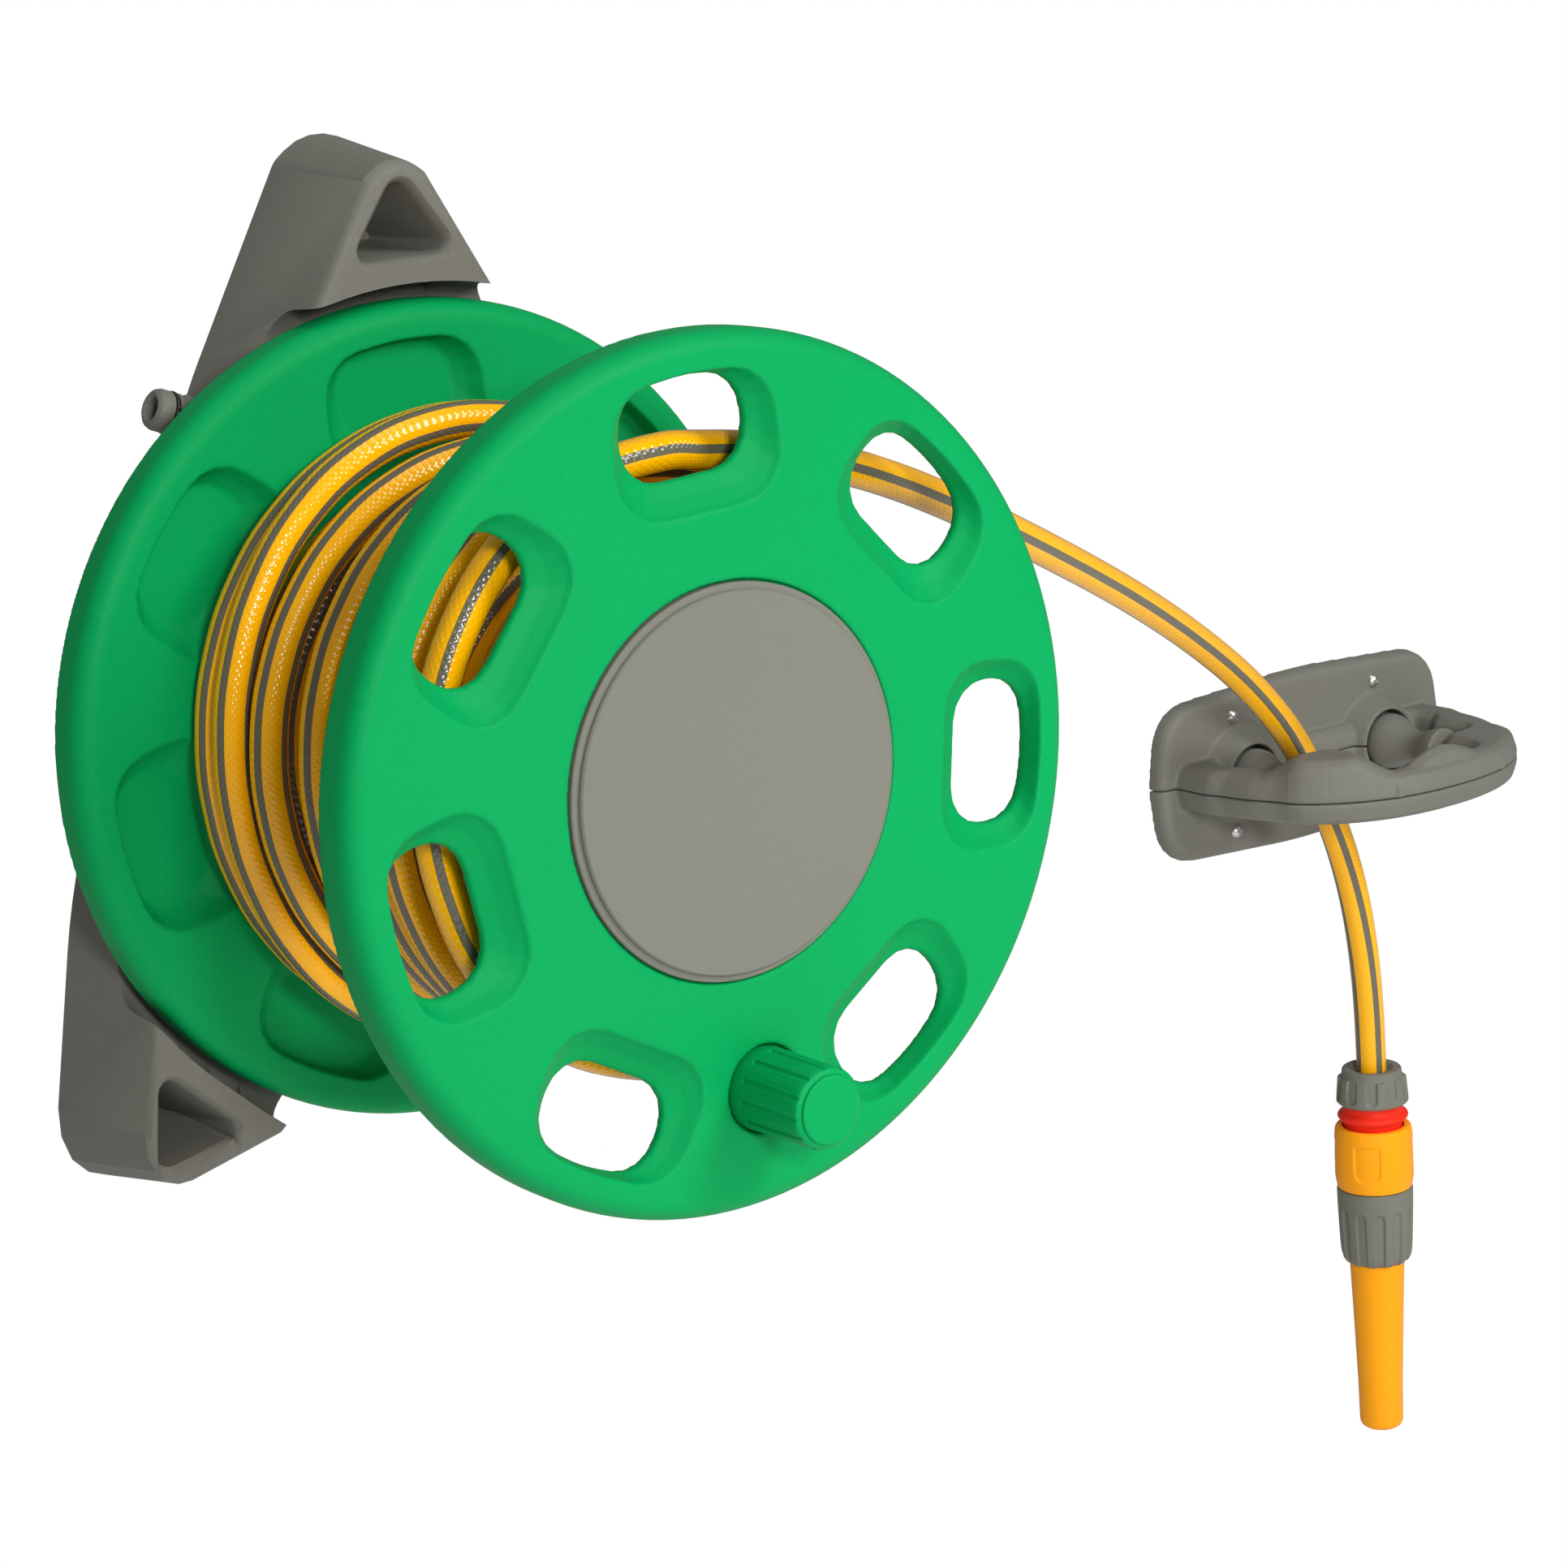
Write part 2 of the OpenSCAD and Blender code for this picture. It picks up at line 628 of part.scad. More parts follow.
module front_flange() {
    seat_z = seat_h - front_rim_h;
    color(green) on_reel() translate([0, 0, front_rim_h]) difference() {
        flange(-window_depth - flange_wall, -window_depth - 2) {
            ring(drum_r + 14, drum_r + 11, seat_z - seat_t, face_z(drum_r + 13));
            ring(drum_r + 12, drum_r - 16, seat_z - seat_t, seat_z);
            ring(hub_wall_r + 3, hub_wall_r, -rim_depth, seat_z - 1);
            crank_seat();
        }
        translate([0, -knob_r, 0]) {
            translate([0, 0, 3]) cylinder(r = knob_d / 2 + 1.2, h = 20, $fn = medium);
            translate([0, 0, -20]) cylinder(r = knob_pin_d / 2 + 0.1, h = 30, $fn = medium);
        }
        for (i = [0 : screw_count - 1])
            rotate([0, 0, 360 * (i + 0.5) / screw_count]) translate([flange_screw_r, 0, 0])
                cylinder(r = 2.1, h = 20, $fn = small);
    }
}

module drum_core() {
    color(dark_grey) on_reel() difference() {
        union() {
            ring(drum_r + 9.5, spindle_r + 2, disc_h, disc_h + disc_t);
            ring(drum_r, drum_r - drum_wall, disc_h, barrel_top_h);
            cylinder(r = spindle_r + 4, h = hub_l_h, $fn = fine);
            for (i = [0 : drum_ribs - 1])
                rotate([0, 0, 360 * (i + 0.25) / drum_ribs]) translate([spindle_r + 3, -1.5, disc_h + 1])
                    cube([drum_r - spindle_r - 4.5, 3, 60]);
            intersection() {
                cylinder(r = drum_r - 1, h = barrel_top_h, $fn = fine);
                for (i = [0 : screw_count - 1])
                    rotate([0, 0, 360 * (i + 0.5) / screw_count])
                        translate([flange_screw_r, 0, barrel_top_h - 24])
                            cylinder(r = 7.5, h = 24, $fn = small);
            }
        }
        cylinder(r = spindle_r + run_gap, h = far, $fn = fine);
        cylinder(r = drum_r + 20, h = disc_h, $fn = fine);
        for (i = [0 : screw_count - 1]) {
            rotate([0, 0, 360 * i / screw_count]) translate([drum_r + 6, 0, disc_h - 1])
                cylinder(r = 2.1, h = disc_t + 2, $fn = small);
            rotate([0, 0, 360 * (i + 0.5) / screw_count]) translate([flange_screw_r, 0, barrel_top_h - 18])
                cylinder(r = 1.9 + eps * 10, h = 20, $fn = small);
        }
        translate([0, 0, port_h]) rotate([0, 90, 0]) cylinder(r = port_r + seat_gap, h = drum_r + 5, $fn = medium);
    }
}

module drum_screws() {
    color(zinc) on_reel() for (i = [0 : screw_count - 1])
        rotate([0, 0, 360 * i / screw_count]) translate([drum_r + 6, 0, disc_h - eps])
            mirror([0, 0, 1]) screw(0, 3.6, 2.4, 1.9, 7);
}

module flange_screws() {
    color(zinc) on_reel() for (i = [0 : screw_count - 1])
        rotate([0, 0, 360 * (i + 0.5) / screw_count]) translate([flange_screw_r, 0, 0])
            screw(seat_h + eps, 3.6, 2.4, 1.9, 18);
}

module hub_cap() {
    cap_r = cap_d / 2;
    top = hub_top_h + cap_rise;
    color(hub_grey) on_reel() difference() {
        rotate_extrude($fn = fine) polygon([
            [0, top - 3], [cap_r - 4.5, top - 3], [cap_r - 4.5, seat_h + seat_gap], [cap_r, seat_h + seat_gap],
            [cap_r, top - 3.2], [cap_r - 0.6, top - 2.6], [cap_r - 3, top - 2.4], [cap_r - 3, top - 0.8],
            [cap_r - 3.8, top], [0, top]]);
        rotate([0, 0, 170 + reel_turn]) translate([-4, cap_r - 3, top - 2.7]) cube([8, 10, 10]);
    }
}

// Swivel elbow that carries the water from the spindle to the hose
module outlet_elbow() {
    color(hub_grey) on_reel() difference() {
        union() {
            translate([0, 0, elbow_h]) cylinder(r = spindle_r + 4.5, h = elbow_l, $fn = fine);
            translate([0, 0, port_h]) rotate([0, 90, 0]) cylinder(r = port_r, h = drum_r - 0.3, $fn = medium);
        }
        translate([0, 0, elbow_h - 1]) cylinder(r = spindle_r + run_gap, h = elbow_l - 2, $fn = fine);
        translate([0, 0, port_h]) rotate([0, 90, 0]) cylinder(r = bore_r, h = far, $fn = medium);
    }
}

// Wound hose

module hose_inner_layers() {
    low = back_face_h + dish_rise + seat_gap;
    step = low + 1.8 * hose_d;
    color(yellow) on_reel() rotate_extrude($fn = fine) polygon([
        [hub_wall_r, low], [layers_r - 3, low], [layers_r, low + 3], [layers_r, step - 3], [layers_r - 3, step],
        [low_layers_r, step], [low_layers_r, groove_h - 3], [low_layers_r - 3, groove_h],
        [groove_r, groove_h], [groove_r, layers_end_h], [hub_wall_r, layers_end_h]]);
}

// Outer layer: loose turns that step over to the next one where the front flange hides them
function ease(t) = let (c = max(0, min(1, t))) c * c * (3 - 2 * c);
function blend(list, t) = let (k = floor(t), e = ease((t - k - 0.6) / 0.5) + ease((t - k + 0.4) / 0.5) - 1)
    list[k] + (e >= 0 ? e * (list[min(k + 1, len(list) - 1)] - list[k]) : e * (list[k] - list[max(k - 1, 0)]));
turn_list = [for (i = 0, s = 0; i < len(turn_share); i = i + 1, s = s + (i < len(turn_share) ? turn_share[i] : 0)) s];
turn_hs = [for (i = [0 : len(turn_share) - 1]) first_turn_h + i * (hose_d + 0.6)
    + turn_room * turn_list[i] / turn_list[turns]];
turn_rs = [for (i = [0 : len(turn_rise) - 1]) (i < 2 ? layers_r : low_layers_r) + hose_r + turn_rise[i]];
function turn_point(i) =
    let (t = i / turn_rings, a = turn_start + 360 * t, r = blend(turn_rs, t) - turn_dent * pow(max(0, -sin(a)), 2))
    [r * sin(a), r * cos(a), blend(turn_hs, t)];
outer_path = let (n = turns * turn_rings, s = turn_point(0), e = turn_point(n)) concat(
    [s - hose_d * unit(turn_point(1) - s)],
    [for (i = [0 : n]) turn_point(i)],
    [e + hose_d * unit(e - turn_point(n - 1))]);

// Least gap of the outer layer to itself, measured on the points of its own rings
outer_gap = min([for (i = [0 : (turns - 1) * turn_rings - 4], j = [i + turn_rings - 4 : i + turn_rings + 4])
    norm(turn_point(i) - turn_point(j))]) - hose_d;
echo(least_gap_in_outer_layer_mm = outer_gap);

module hose_outer_layer() {
    color(yellow) on_reel() skinned(tube_rings(outer_path, hose_r, 6));
}

// Free hose
free_path = concat(
    [for (i = [0 : wrap_rings])
        let (a = -wrap_angle * (1 - i / wrap_rings), low_r = groove_r + hose_r + 1.6,
             r = low_r + (low_wrap_r - low_r) * ease((a + 290) / 80) + (wrap_r - low_wrap_r) * ease((a + 110) / 90))
        [r * sin(a), r * cos(a), wrap_h]],
    route);

module hose_free() {
    color(yellow) on_wall() skinned(tube_rings(free_path, hose_r, 8));
}

// Crank

module crank_pin() {
    r = knob_pin_d / 2;
    low = front_rim_h - 10 - 3;
    top = seat_h + knob_l - 8;
    color(zinc) on_reel() translate([0, -knob_r, 0]) {
        translate([0, 0, low]) cylinder(r = r + 2.5, h = 3 - eps, $fn = medium);
        translate([0, 0, low]) cylinder(r = r, h = top - low, $fn = medium);
        translate([0, 0, top]) cylinder(r1 = r + 3, r2 = r + 1.5, h = 3, $fn = medium);
    }
}

module crank_knob() {
    r = knob_d / 2;
    low = front_rim_h + 3 + seat_gap;
    top = hub_top_h + knob_l;
    pin_top = seat_h + knob_l - 8;
    bore = knob_pin_d / 2 + run_gap;
    color(green) on_reel() translate([0, -knob_r, 0]) difference() {
        rotate_extrude($fn = medium) polygon([
            [bore, low], [r, low], [r, low + 6], [r - 0.5, top - 2.5], [r - 1.1, top - 1], [r - 2.6, top],
            [bore + 5, top], [bore + 5, pin_top - seat_gap], [bore, pin_top - seat_gap]]);
        for (i = [0 : knob_grooves - 1])
            rotate([0, 0, 360 * i / knob_grooves]) translate([r + 0.2, 0, low + 10])
                cylinder(r = 1.5, h = far, $fn = small);
    }
}

module knob_cap() {
    top = hub_top_h + knob_l;
    bore = knob_pin_d / 2 + run_gap;
    color(green) on_reel() translate([0, -knob_r, 0]) rotate_extrude($fn = medium) polygon([
        [0, top - 3], [bore + 5 - 0.2, top - 3], [bore + 5 - 0.2, top + 0.1], [knob_d / 2 - 3.3, top + 0.1],
        [knob_d / 2 - 3.3, top + 0.9], [knob_d / 2 - 4.1, top + 1.6], [0, top + 1.6]]);
}

// Hose guide

plate_outline = [[-plate_w / 2, 0, 30], [-plate_w / 2 + 6, plate_l / 2 - 4, 26], [0, plate_l / 2 + 2, 400],
    [plate_w / 2 - 6, plate_l / 2 - 4, 26], [plate_w / 2, 0, 30],
    [plate_w / 2 - 6, -plate_l / 2 + 4, 26], [0, -plate_l / 2 - 2, 400], [-plate_w / 2 + 6, -plate_l / 2 + 4, 26]];

module guide_plate() {
    skinned([
        at_height(rounded(plate_outline), 0),
        at_height(rounded(inset(plate_outline, 1)), plate_t - 4),
        at_height(rounded(inset(plate_outline, 3)), plate_t - 1),
        at_height(rounded(inset(plate_outline, 6)), plate_t)]);
}

// Outline of the ring from above, moved inwards by d: x and distance off the wall
ring_side = 28;
ring_power = 2.3;
function ring_shape(d) = let (a = ring_w / 2 - d, b = ring_reach - d - ring_side) concat(
    [[-a, 2]],
    [for (i = [0 : 12]) let (c = cos(180 - 15 * i), s = sin(180 - 15 * i))
        [a * sign(c) * pow(abs(c), 2 / ring_power), ring_side + b * pow(abs(s), 2 / ring_power)]],
    [[a, 2]]);
half_opening = [[opening_front_w / 2, opening_front - 4, 16], [opening_front_w / 2 + 3, shoulder + 3, 10],
    [opening_w / 2, shoulder, 8], [opening_w / 2, plate_t + 8, 8]];
opening_outline = concat([for (i = [3 : -1 : 0]) [-half_opening[i][0], half_opening[i][1], half_opening[i][2]]],
    [[0, opening_front + 1, 100]], half_opening);

// Turns a shape drawn from above so that its second axis points off the wall
module from_above() {
    rotate([90, 0, 0]) mirror([0, 0, 1]) children();
}

module guide_ring() {
    h = ring_h / 2;
    from_above() skinned([
        at_height(ring_shape(7), -h),
        at_height(ring_shape(2.2), -h + 2.5),
        at_height(ring_shape(0), -3),
        at_height(ring_shape(0), 3),
        at_height(ring_shape(2.2), h - 2.5),
        at_height(ring_shape(7), h)]);
}

// Hoods on the plate round the rollers' bulbs
module guide_hoods() {
    r = roller_d / 2;
    for (side = [-1, 1]) translate([side * roller_x, 0, plate_t - 2])
        cylinder(r1 = r + 12, r2 = r + 4, h = 16, $fn = medium);
}

module guide_opening() {
    h = ring_h / 2;
    from_above() skinned([
        at_height(rounded(inset(opening_outline, -6)), -h - 1),
        at_height(rounded(inset(opening_outline, -1)), -h + 4),
        at_height(rounded(inset(opening_outline, 0)), -h + 8),
        at_height(rounded(inset(opening_outline, 0)), h - 8),
        at_height(rounded(inset(opening_outline, -1)), h - 4),
        at_height(rounded(inset(opening_outline, -6)), h + 1)]);
}

// Raised saddle on the ring's front, over which the hose bends
module guide_saddle() {
    half_w = 42;
    rise = 8;
    skinned([for (i = [-5 : 5])
        let (h = ring_h / 2 - 3 + (rise + 3) * pow(cos(18 * i), 2) + 0.2)
        [for (p = [[opening_front - 1, 0], [opening_front + 14, 0], [opening_front + 14, h * 0.55],
                   [opening_front + 10, h * 0.85], [opening_front + 5, h], [opening_front + 1, h * 0.93],
                   [opening_front - 1, h * 0.75]])
            [half_w * i / 5, p[1], p[0]]]]);
}

module guide_half(up) {
    translate([guide_x, guide_y, 0]) difference() {
        union() {
            difference() {
                union() {
                    guide_plate();
                    guide_ring();
                    if (up) guide_saddle();
                }
                guide_opening();
            }
            guide_hoods();
        }
        translate([-far, up ? -far : -guide_gap / 2, -1])
            cube([2 * far, far + guide_gap / 2, far]);
        for (side = [-1, 1]) {
            translate([side * roller_x, 0, plate_t + 0.6])
                cylinder(r = roller_d / 2 + 2, h = 20, $fn = medium);
            translate([side * roller_x, 0, plate_t - 6])
                cylinder(r = roller_pin_d / 2 + 0.02, h = pin_l + 2 * seat_gap, $fn = medium);
            for (v = [-1, 1])
                translate([side * guide_screw_dx / 2, v * guide_screw_dy / 2, -1])
                    cylinder(r = guide_screw_d / 2 + 0.15, h = plate_t + 10, $fn = small);
        }
    }
}

module guide_upper_shell() {
    color(dark_grey) on_wall() guide_half(true);
}

module guide_lower_shell() {
    color(dark_grey) on_wall() guide_half(false);
}

module guide_screws() {
    color(zinc) on_wall() translate([guide_x, guide_y, 0])
        for (side = [-1, 1], v = [-1, 1])
            translate([side * guide_screw_dx / 2, v * guide_screw_dy / 2, plate_t + eps]) {
                translate([0, 0, -38]) cylinder(d = guide_screw_d, h = 37 - plate_t, $fn = small);
                translate([0, 0, -30]) cylinder(d = guide_screw_d - 0.3, h = 31, $fn = small);
                difference() {
                    translate([0, 0, -1.6]) intersection() {
                        sphere(r = 4.4, $fn = medium);
                        translate([0, 0, 1.6]) cylinder(r = 4.2, h = 5, $fn = medium);
                    }
                    for (turn = [0, 90]) rotate([0, 0, turn])
                        translate([-2.2, -0.5, 1.2]) cube([4.4, 1, 5]);
                }
            }
}

module roller_pins() {
    color(zinc) on_wall() for (side = [-1, 1])
        translate([guide_x + side * roller_x, guide_y, plate_t - 6 + seat_gap])
            cylinder(d = roller_pin_d, h = pin_l, $fn = medium);
}

// Hourglass roller: a round bulb by the wall, a waist, and a smaller flare at the front
module roller(side) {
    r = roller_d / 2;
    w = roller_waist / 2;
    f = roller_front_d / 2;
    b = roller_pin_d / 2 + run_gap;
    z = plate_t + 1.5;
    bulb_z = plate_t + 14;
    waist_z = plate_t + 36;
    color(dark_grey) on_wall() translate([guide_x + side * roller_x, guide_y, 0])
        rotate_extrude($fn = medium) polygon(concat(
            [[b, z], [r * 0.45, z], [r * 0.78, z + 3], [r * 0.95, z + 7.5]],
            [for (i = [0 : 6]) [w + (r - w) * (0.5 + 0.5 * cos(30 * i)), bulb_z + (waist_z - bulb_z) * i / 6]],
            [for (i = [1 : 5]) [w + (f - w) * (0.5 - 0.5 * cos(36 * i)), waist_z + (roller_end - 1 - waist_z) * i / 5]],
            [[f - 1, roller_end], [b, roller_end]]));
}

module guide_roller_left() {
    roller(-1);
}

module guide_roller_right() {
    roller(1);
}

// Connector and nozzle, turned about the hanging hose's axis

module connector_body() {
    color(dark_grey) on_hose() rotate_extrude($fn = medium) polygon([
        [bore_r, hose_end], [10, hose_end], [thread_r - 0.3, hose_end - 2], [thread_r - 0.3, nut_bottom],
        [11, nut_bottom], [11, sleeve_top - 4], [15.5, sleeve_top - 5], [15.5, sleeve_bottom + 3],
        [14.5, sleeve_bottom + 2], [spigot_r + run_gap, sleeve_bottom + 2], [spigot_r + run_gap, sleeve_top - 8],
        [bore_r, sleeve_top - 8]]);
}

module connector_nut() {
    r = nut_d / 2;
    color(dark_grey) on_hose() difference() {
        rotate_extrude($fn = medium) polygon([
            [hose_r + 1.2, nut_top], [r - 3.5, nut_top], [r - 1.2, nut_top - 5], [r - 0.2, nut_top - 6.5],
            [r, nut_bottom + 3], [r - 2, nut_bottom + eps], [thread_r, nut_bottom + eps],
            [thread_r, nut_top - 7], [hose_r + 1.2, nut_top - 4]]);
        for (i = [0 : 9])
            rotate([0, 0, 36 * i + 18]) translate([r + 1, 0, nut_bottom + 5])
                cylinder(r = 2.6, h = 60, $fn = small);
    }
}

module connector_ring() {
    r = nut_d / 2 - 0.3;
    color(red) on_hose() rotate_extrude($fn = medium) polygon([
        [11.2, nut_bottom - 0.2], [r - 3, nut_bottom - 0.2], [r - 0.8, nut_bottom - 1.2], [r, nut_bottom - 2.6],
        [r - 0.8, nut_bottom - 4], [r - 3.6, nut_bottom - 5], [r - 3.6, nut_bottom - 6.5],
        [r - 2.4, nut_bottom - 8], [r - 2.4, nut_bottom - 11], [11.2, nut_bottom - 11]]);
}

module connector_sleeve() {
    r = sleeve_d / 2;
    color(orange) on_hose() difference() {
        rotate_extrude($fn = medium) polygon([
            [17.6, sleeve_top], [r - 2, sleeve_top], [r - 0.8, sleeve_top - 1.6], [r - 0.3, sleeve_top - 5],
            [r, sleeve_top - 14], [r - 0.1, sleeve_top - 26], [r - 1.2, sleeve_bottom + 4],
            [r - 1.5, sleeve_bottom], [15.9, sleeve_bottom], [15.9, sleeve_top - 13], [17.6, sleeve_top - 13]]);
        for (i = [0 : 3])
            rotate([0, 0, 90 * i + 45]) translate([r - 0.9, 0, (sleeve_top + sleeve_bottom) / 2 + 1])
                cube([3, 13, 19], center = true);
    }
}

module nozzle_collar() {
    r = collar_d / 2;
    color(dark_grey) on_hose() difference() {
        rotate_extrude($fn = medium) polygon([
            [0, collar_top - 14], [spigot_r - 3, collar_top - 12], [spigot_r - 3, collar_top + 33],
            [spigot_r - 1, collar_top + 33], [spigot_r, collar_top + 31.5],
            [spigot_r, collar_top + 30.5], [spigot_r - 1.7, collar_top + 30.5], [spigot_r - 1.7, collar_top + 27.7],
            [spigot_r, collar_top + 27.7], [spigot_r, collar_top],
            [r - 0.8, collar_top], [r, collar_top - 1], [r - 0.1, collar_top - 12], [r - 0.8, collar_bottom + 12],
            [r - 1.4, collar_bottom + 4], [r - 2.9, collar_bottom], [thread_r + run_gap, collar_bottom],
            [thread_r + run_gap, collar_top - 17], [3.5, collar_top - 17], [3.5, collar_bottom - 25],
            [2, collar_bottom - 29], [0, collar_bottom - 29]]);
        for (i = [0 : collar_grooves - 1])
            rotate([0, 0, 360 * i / collar_grooves]) {
                translate([r + 1.3, 0, collar_bottom - 1]) cylinder(r = 2.9, h = 28, $fn = small);
                translate([r + 1.3, 0, collar_bottom + 27]) sphere(r = 2.9, $fn = small);
            }
        for (i = [0 : 3])
            rotate([0, 0, 90 * i + 45]) translate([9.3, 0, collar_top - 16.5]) cylinder(r = 2.2, h = 12, $fn = small);
    }
}

module nozzle_seal() {
    color(black) on_hose() translate([0, 0, collar_top + 29.1]) rotate_extrude($fn = medium)
        translate([spigot_r - 0.84, 0]) circle(r = 0.85, $fn = small);
}

module nozzle_barrel() {
    color(orange) on_hose() rotate_extrude($fn = medium) polygon([
        [5, collar_top - 17.5], [thread_r, collar_top - 17.5], [thread_r, collar_bottom - seat_gap],
        [barrel_d / 2, collar_bottom - seat_gap], [barrel_d / 2 - 1, collar_bottom - 25],
        [tip_d / 2 + 0.4, collar_bottom - 75], [tip_d / 2, barrel_tip + 4], [tip_d / 2 - 0.8, barrel_tip + 1.6],
        [tip_d / 2 - 2.6, barrel_tip + 0.3], [tip_d / 2 - 4, barrel_tip], [4.5, barrel_tip], [3.2, barrel_tip + 6],
        [3.2, collar_bottom - 40], [5, collar_bottom - 36]]);
}

wall_bracket();
spindle();
spindle_screws();
spindle_seals();
spindle_clip();
inlet_pipe();
inlet_spigot();
inlet_seal();
back_flange();
drum_core();
drum_screws();
front_flange();
flange_screws();
hub_cap();
outlet_elbow();
hose_inner_layers();
hose_outer_layer();
crank_pin();
crank_knob();
knob_cap();
guide_upper_shell();
guide_lower_shell();
guide_screws();
roller_pins();
guide_roller_left();
guide_roller_right();
hose_free();
connector_body();
connector_nut();
connector_ring();
connector_sleeve();
nozzle_collar();
nozzle_seal();
nozzle_barrel();
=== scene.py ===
# A garden hose reel on its wall bracket, with the hose led over a wall guide to a jet nozzle.
# The hose comes first, then the bracket and what is mounted on it, the guide, and the nozzle.
import math

import bmesh
import bpy
from mathutils import Matrix, Vector


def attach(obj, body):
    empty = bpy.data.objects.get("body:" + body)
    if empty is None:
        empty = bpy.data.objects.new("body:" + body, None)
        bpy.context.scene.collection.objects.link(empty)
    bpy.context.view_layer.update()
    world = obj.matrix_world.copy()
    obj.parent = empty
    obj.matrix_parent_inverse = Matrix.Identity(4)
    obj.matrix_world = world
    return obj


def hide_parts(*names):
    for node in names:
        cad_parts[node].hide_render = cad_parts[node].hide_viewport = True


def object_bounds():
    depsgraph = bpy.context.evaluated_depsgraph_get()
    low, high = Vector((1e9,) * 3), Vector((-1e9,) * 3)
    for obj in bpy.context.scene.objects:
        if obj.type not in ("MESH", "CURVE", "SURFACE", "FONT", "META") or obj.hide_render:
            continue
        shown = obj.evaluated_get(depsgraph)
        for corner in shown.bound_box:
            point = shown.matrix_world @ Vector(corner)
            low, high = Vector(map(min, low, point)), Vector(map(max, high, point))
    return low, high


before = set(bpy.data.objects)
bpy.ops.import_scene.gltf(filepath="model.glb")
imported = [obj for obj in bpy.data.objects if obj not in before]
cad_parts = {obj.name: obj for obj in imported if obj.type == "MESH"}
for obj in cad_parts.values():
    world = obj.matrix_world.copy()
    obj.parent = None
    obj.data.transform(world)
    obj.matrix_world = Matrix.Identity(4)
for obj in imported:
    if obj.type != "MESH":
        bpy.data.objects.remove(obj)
cad_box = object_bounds()


# The camera stands to the left of the reel and a little above it, with a long lens,
# and it leans by a few degrees as in the photograph.
camera_data = bpy.data.cameras.new("camera")
camera_data.lens = 93.45
camera_data.sensor_width = 36
camera_data.clip_end = 50
camera = bpy.data.objects.new("camera", camera_data)
bpy.context.scene.collection.objects.link(camera)
to_right = Vector((0.782195, -0.619984, -0.061560))
to_top = Vector((0.192285, 0.146242, 0.970381))
to_viewer = Vector((-0.592619, -0.770865, 0.233603))
camera.matrix_world = Matrix.Translation((-0.99546, -1.61519, 0.39682)) @ Matrix(
    (to_right, to_top, to_viewer)
).transposed().to_4x4()
bpy.context.scene.camera = camera


# The hose leaves the groove beside the front flange, runs over the guide and hangs down
# to its connector. It is a soft yellow garden hose with a dark stripe on each quarter.
# Its last turns lie in the groove at three radii in mm, and it climbs between them at the
# angles given in degrees. Its radius and the heights of its twist are in metres.
HOSE_R, FIRST_STRIPE = 0.0085, 0.125
WRAP_ANGLE, WRAP_RINGS, GROOVE_OFF = 560, 32, 250
WRAP_R, MIDDLE_WRAP_R, FLOOR_WRAP_R = 137, 126, 106.1
FIRST_CLIMB, FIRST_CLIMB_LENGTH, LAST_CLIMB, LAST_CLIMB_LENGTH = -290, 80, -110, 90
STRIPE_START, STRIPE_TWIST, TWIST_START, TWIST_LENGTH = 4, 29, -0.13, 0.17
ROUTE = [
    (16, 136.6, 249.8), (45, 133, 249), (75, 126, 246.4), (105, 116.5, 241.3), (140, 103.6, 232),
    (175, 89.2, 219.5), (210, 73.6, 206), (248, 56.1, 190.5), (288, 38.2, 173.3), (331, 18.8, 154.6),
    (375, -2.5, 135.2), (413, -22, 118.3), (441, -38.6, 106), (464, -51.5, 96), (486, -63.8, 86),
    (509, -79.5, 76), (528, -93.5, 68), (546, -108, 60.5), (560, -119.4, 54), (570.7, -131.4, 48.7),
    (580.7, -145.9, 46.5), (591, -162.5, 46.5), (600, -183, 46.5), (606.5, -201.5, 47), (611, -222, 48.5),
    (614.5, -245, 50), (617, -268, 50), (618.3, -295, 50), (618.5, -313, 50), (618.5, -330, 50),
]


def from_wall(x, y, z):
    """A point given in mm to the right of the reel's axis, above it, and off the wall."""
    return Vector((x, -z, y)) / 1000


def ease(t):
    t = min(1, max(0, t))
    return t * t * (3 - 2 * t)


def wrap_point(i):
    """A point of the last turns in the groove, counted from their inner end."""
    angle = -WRAP_ANGLE * (1 - i / WRAP_RINGS)
    r = FLOOR_WRAP_R + (MIDDLE_WRAP_R - FLOOR_WRAP_R) * ease((angle - FIRST_CLIMB) / FIRST_CLIMB_LENGTH)
    r += (WRAP_R - MIDDLE_WRAP_R) * ease((angle - LAST_CLIMB) / LAST_CLIMB_LENGTH)
    angle = math.radians(angle)
    return from_wall(r * math.sin(angle), r * math.cos(angle), GROOVE_OFF)


def free_stripe(spot):
    """The stripe of the free hose, in degrees. The hose twists between guide and connector."""
    return STRIPE_START - STRIPE_TWIST * ease((TWIST_START - spot.z) / TWIST_LENGTH)


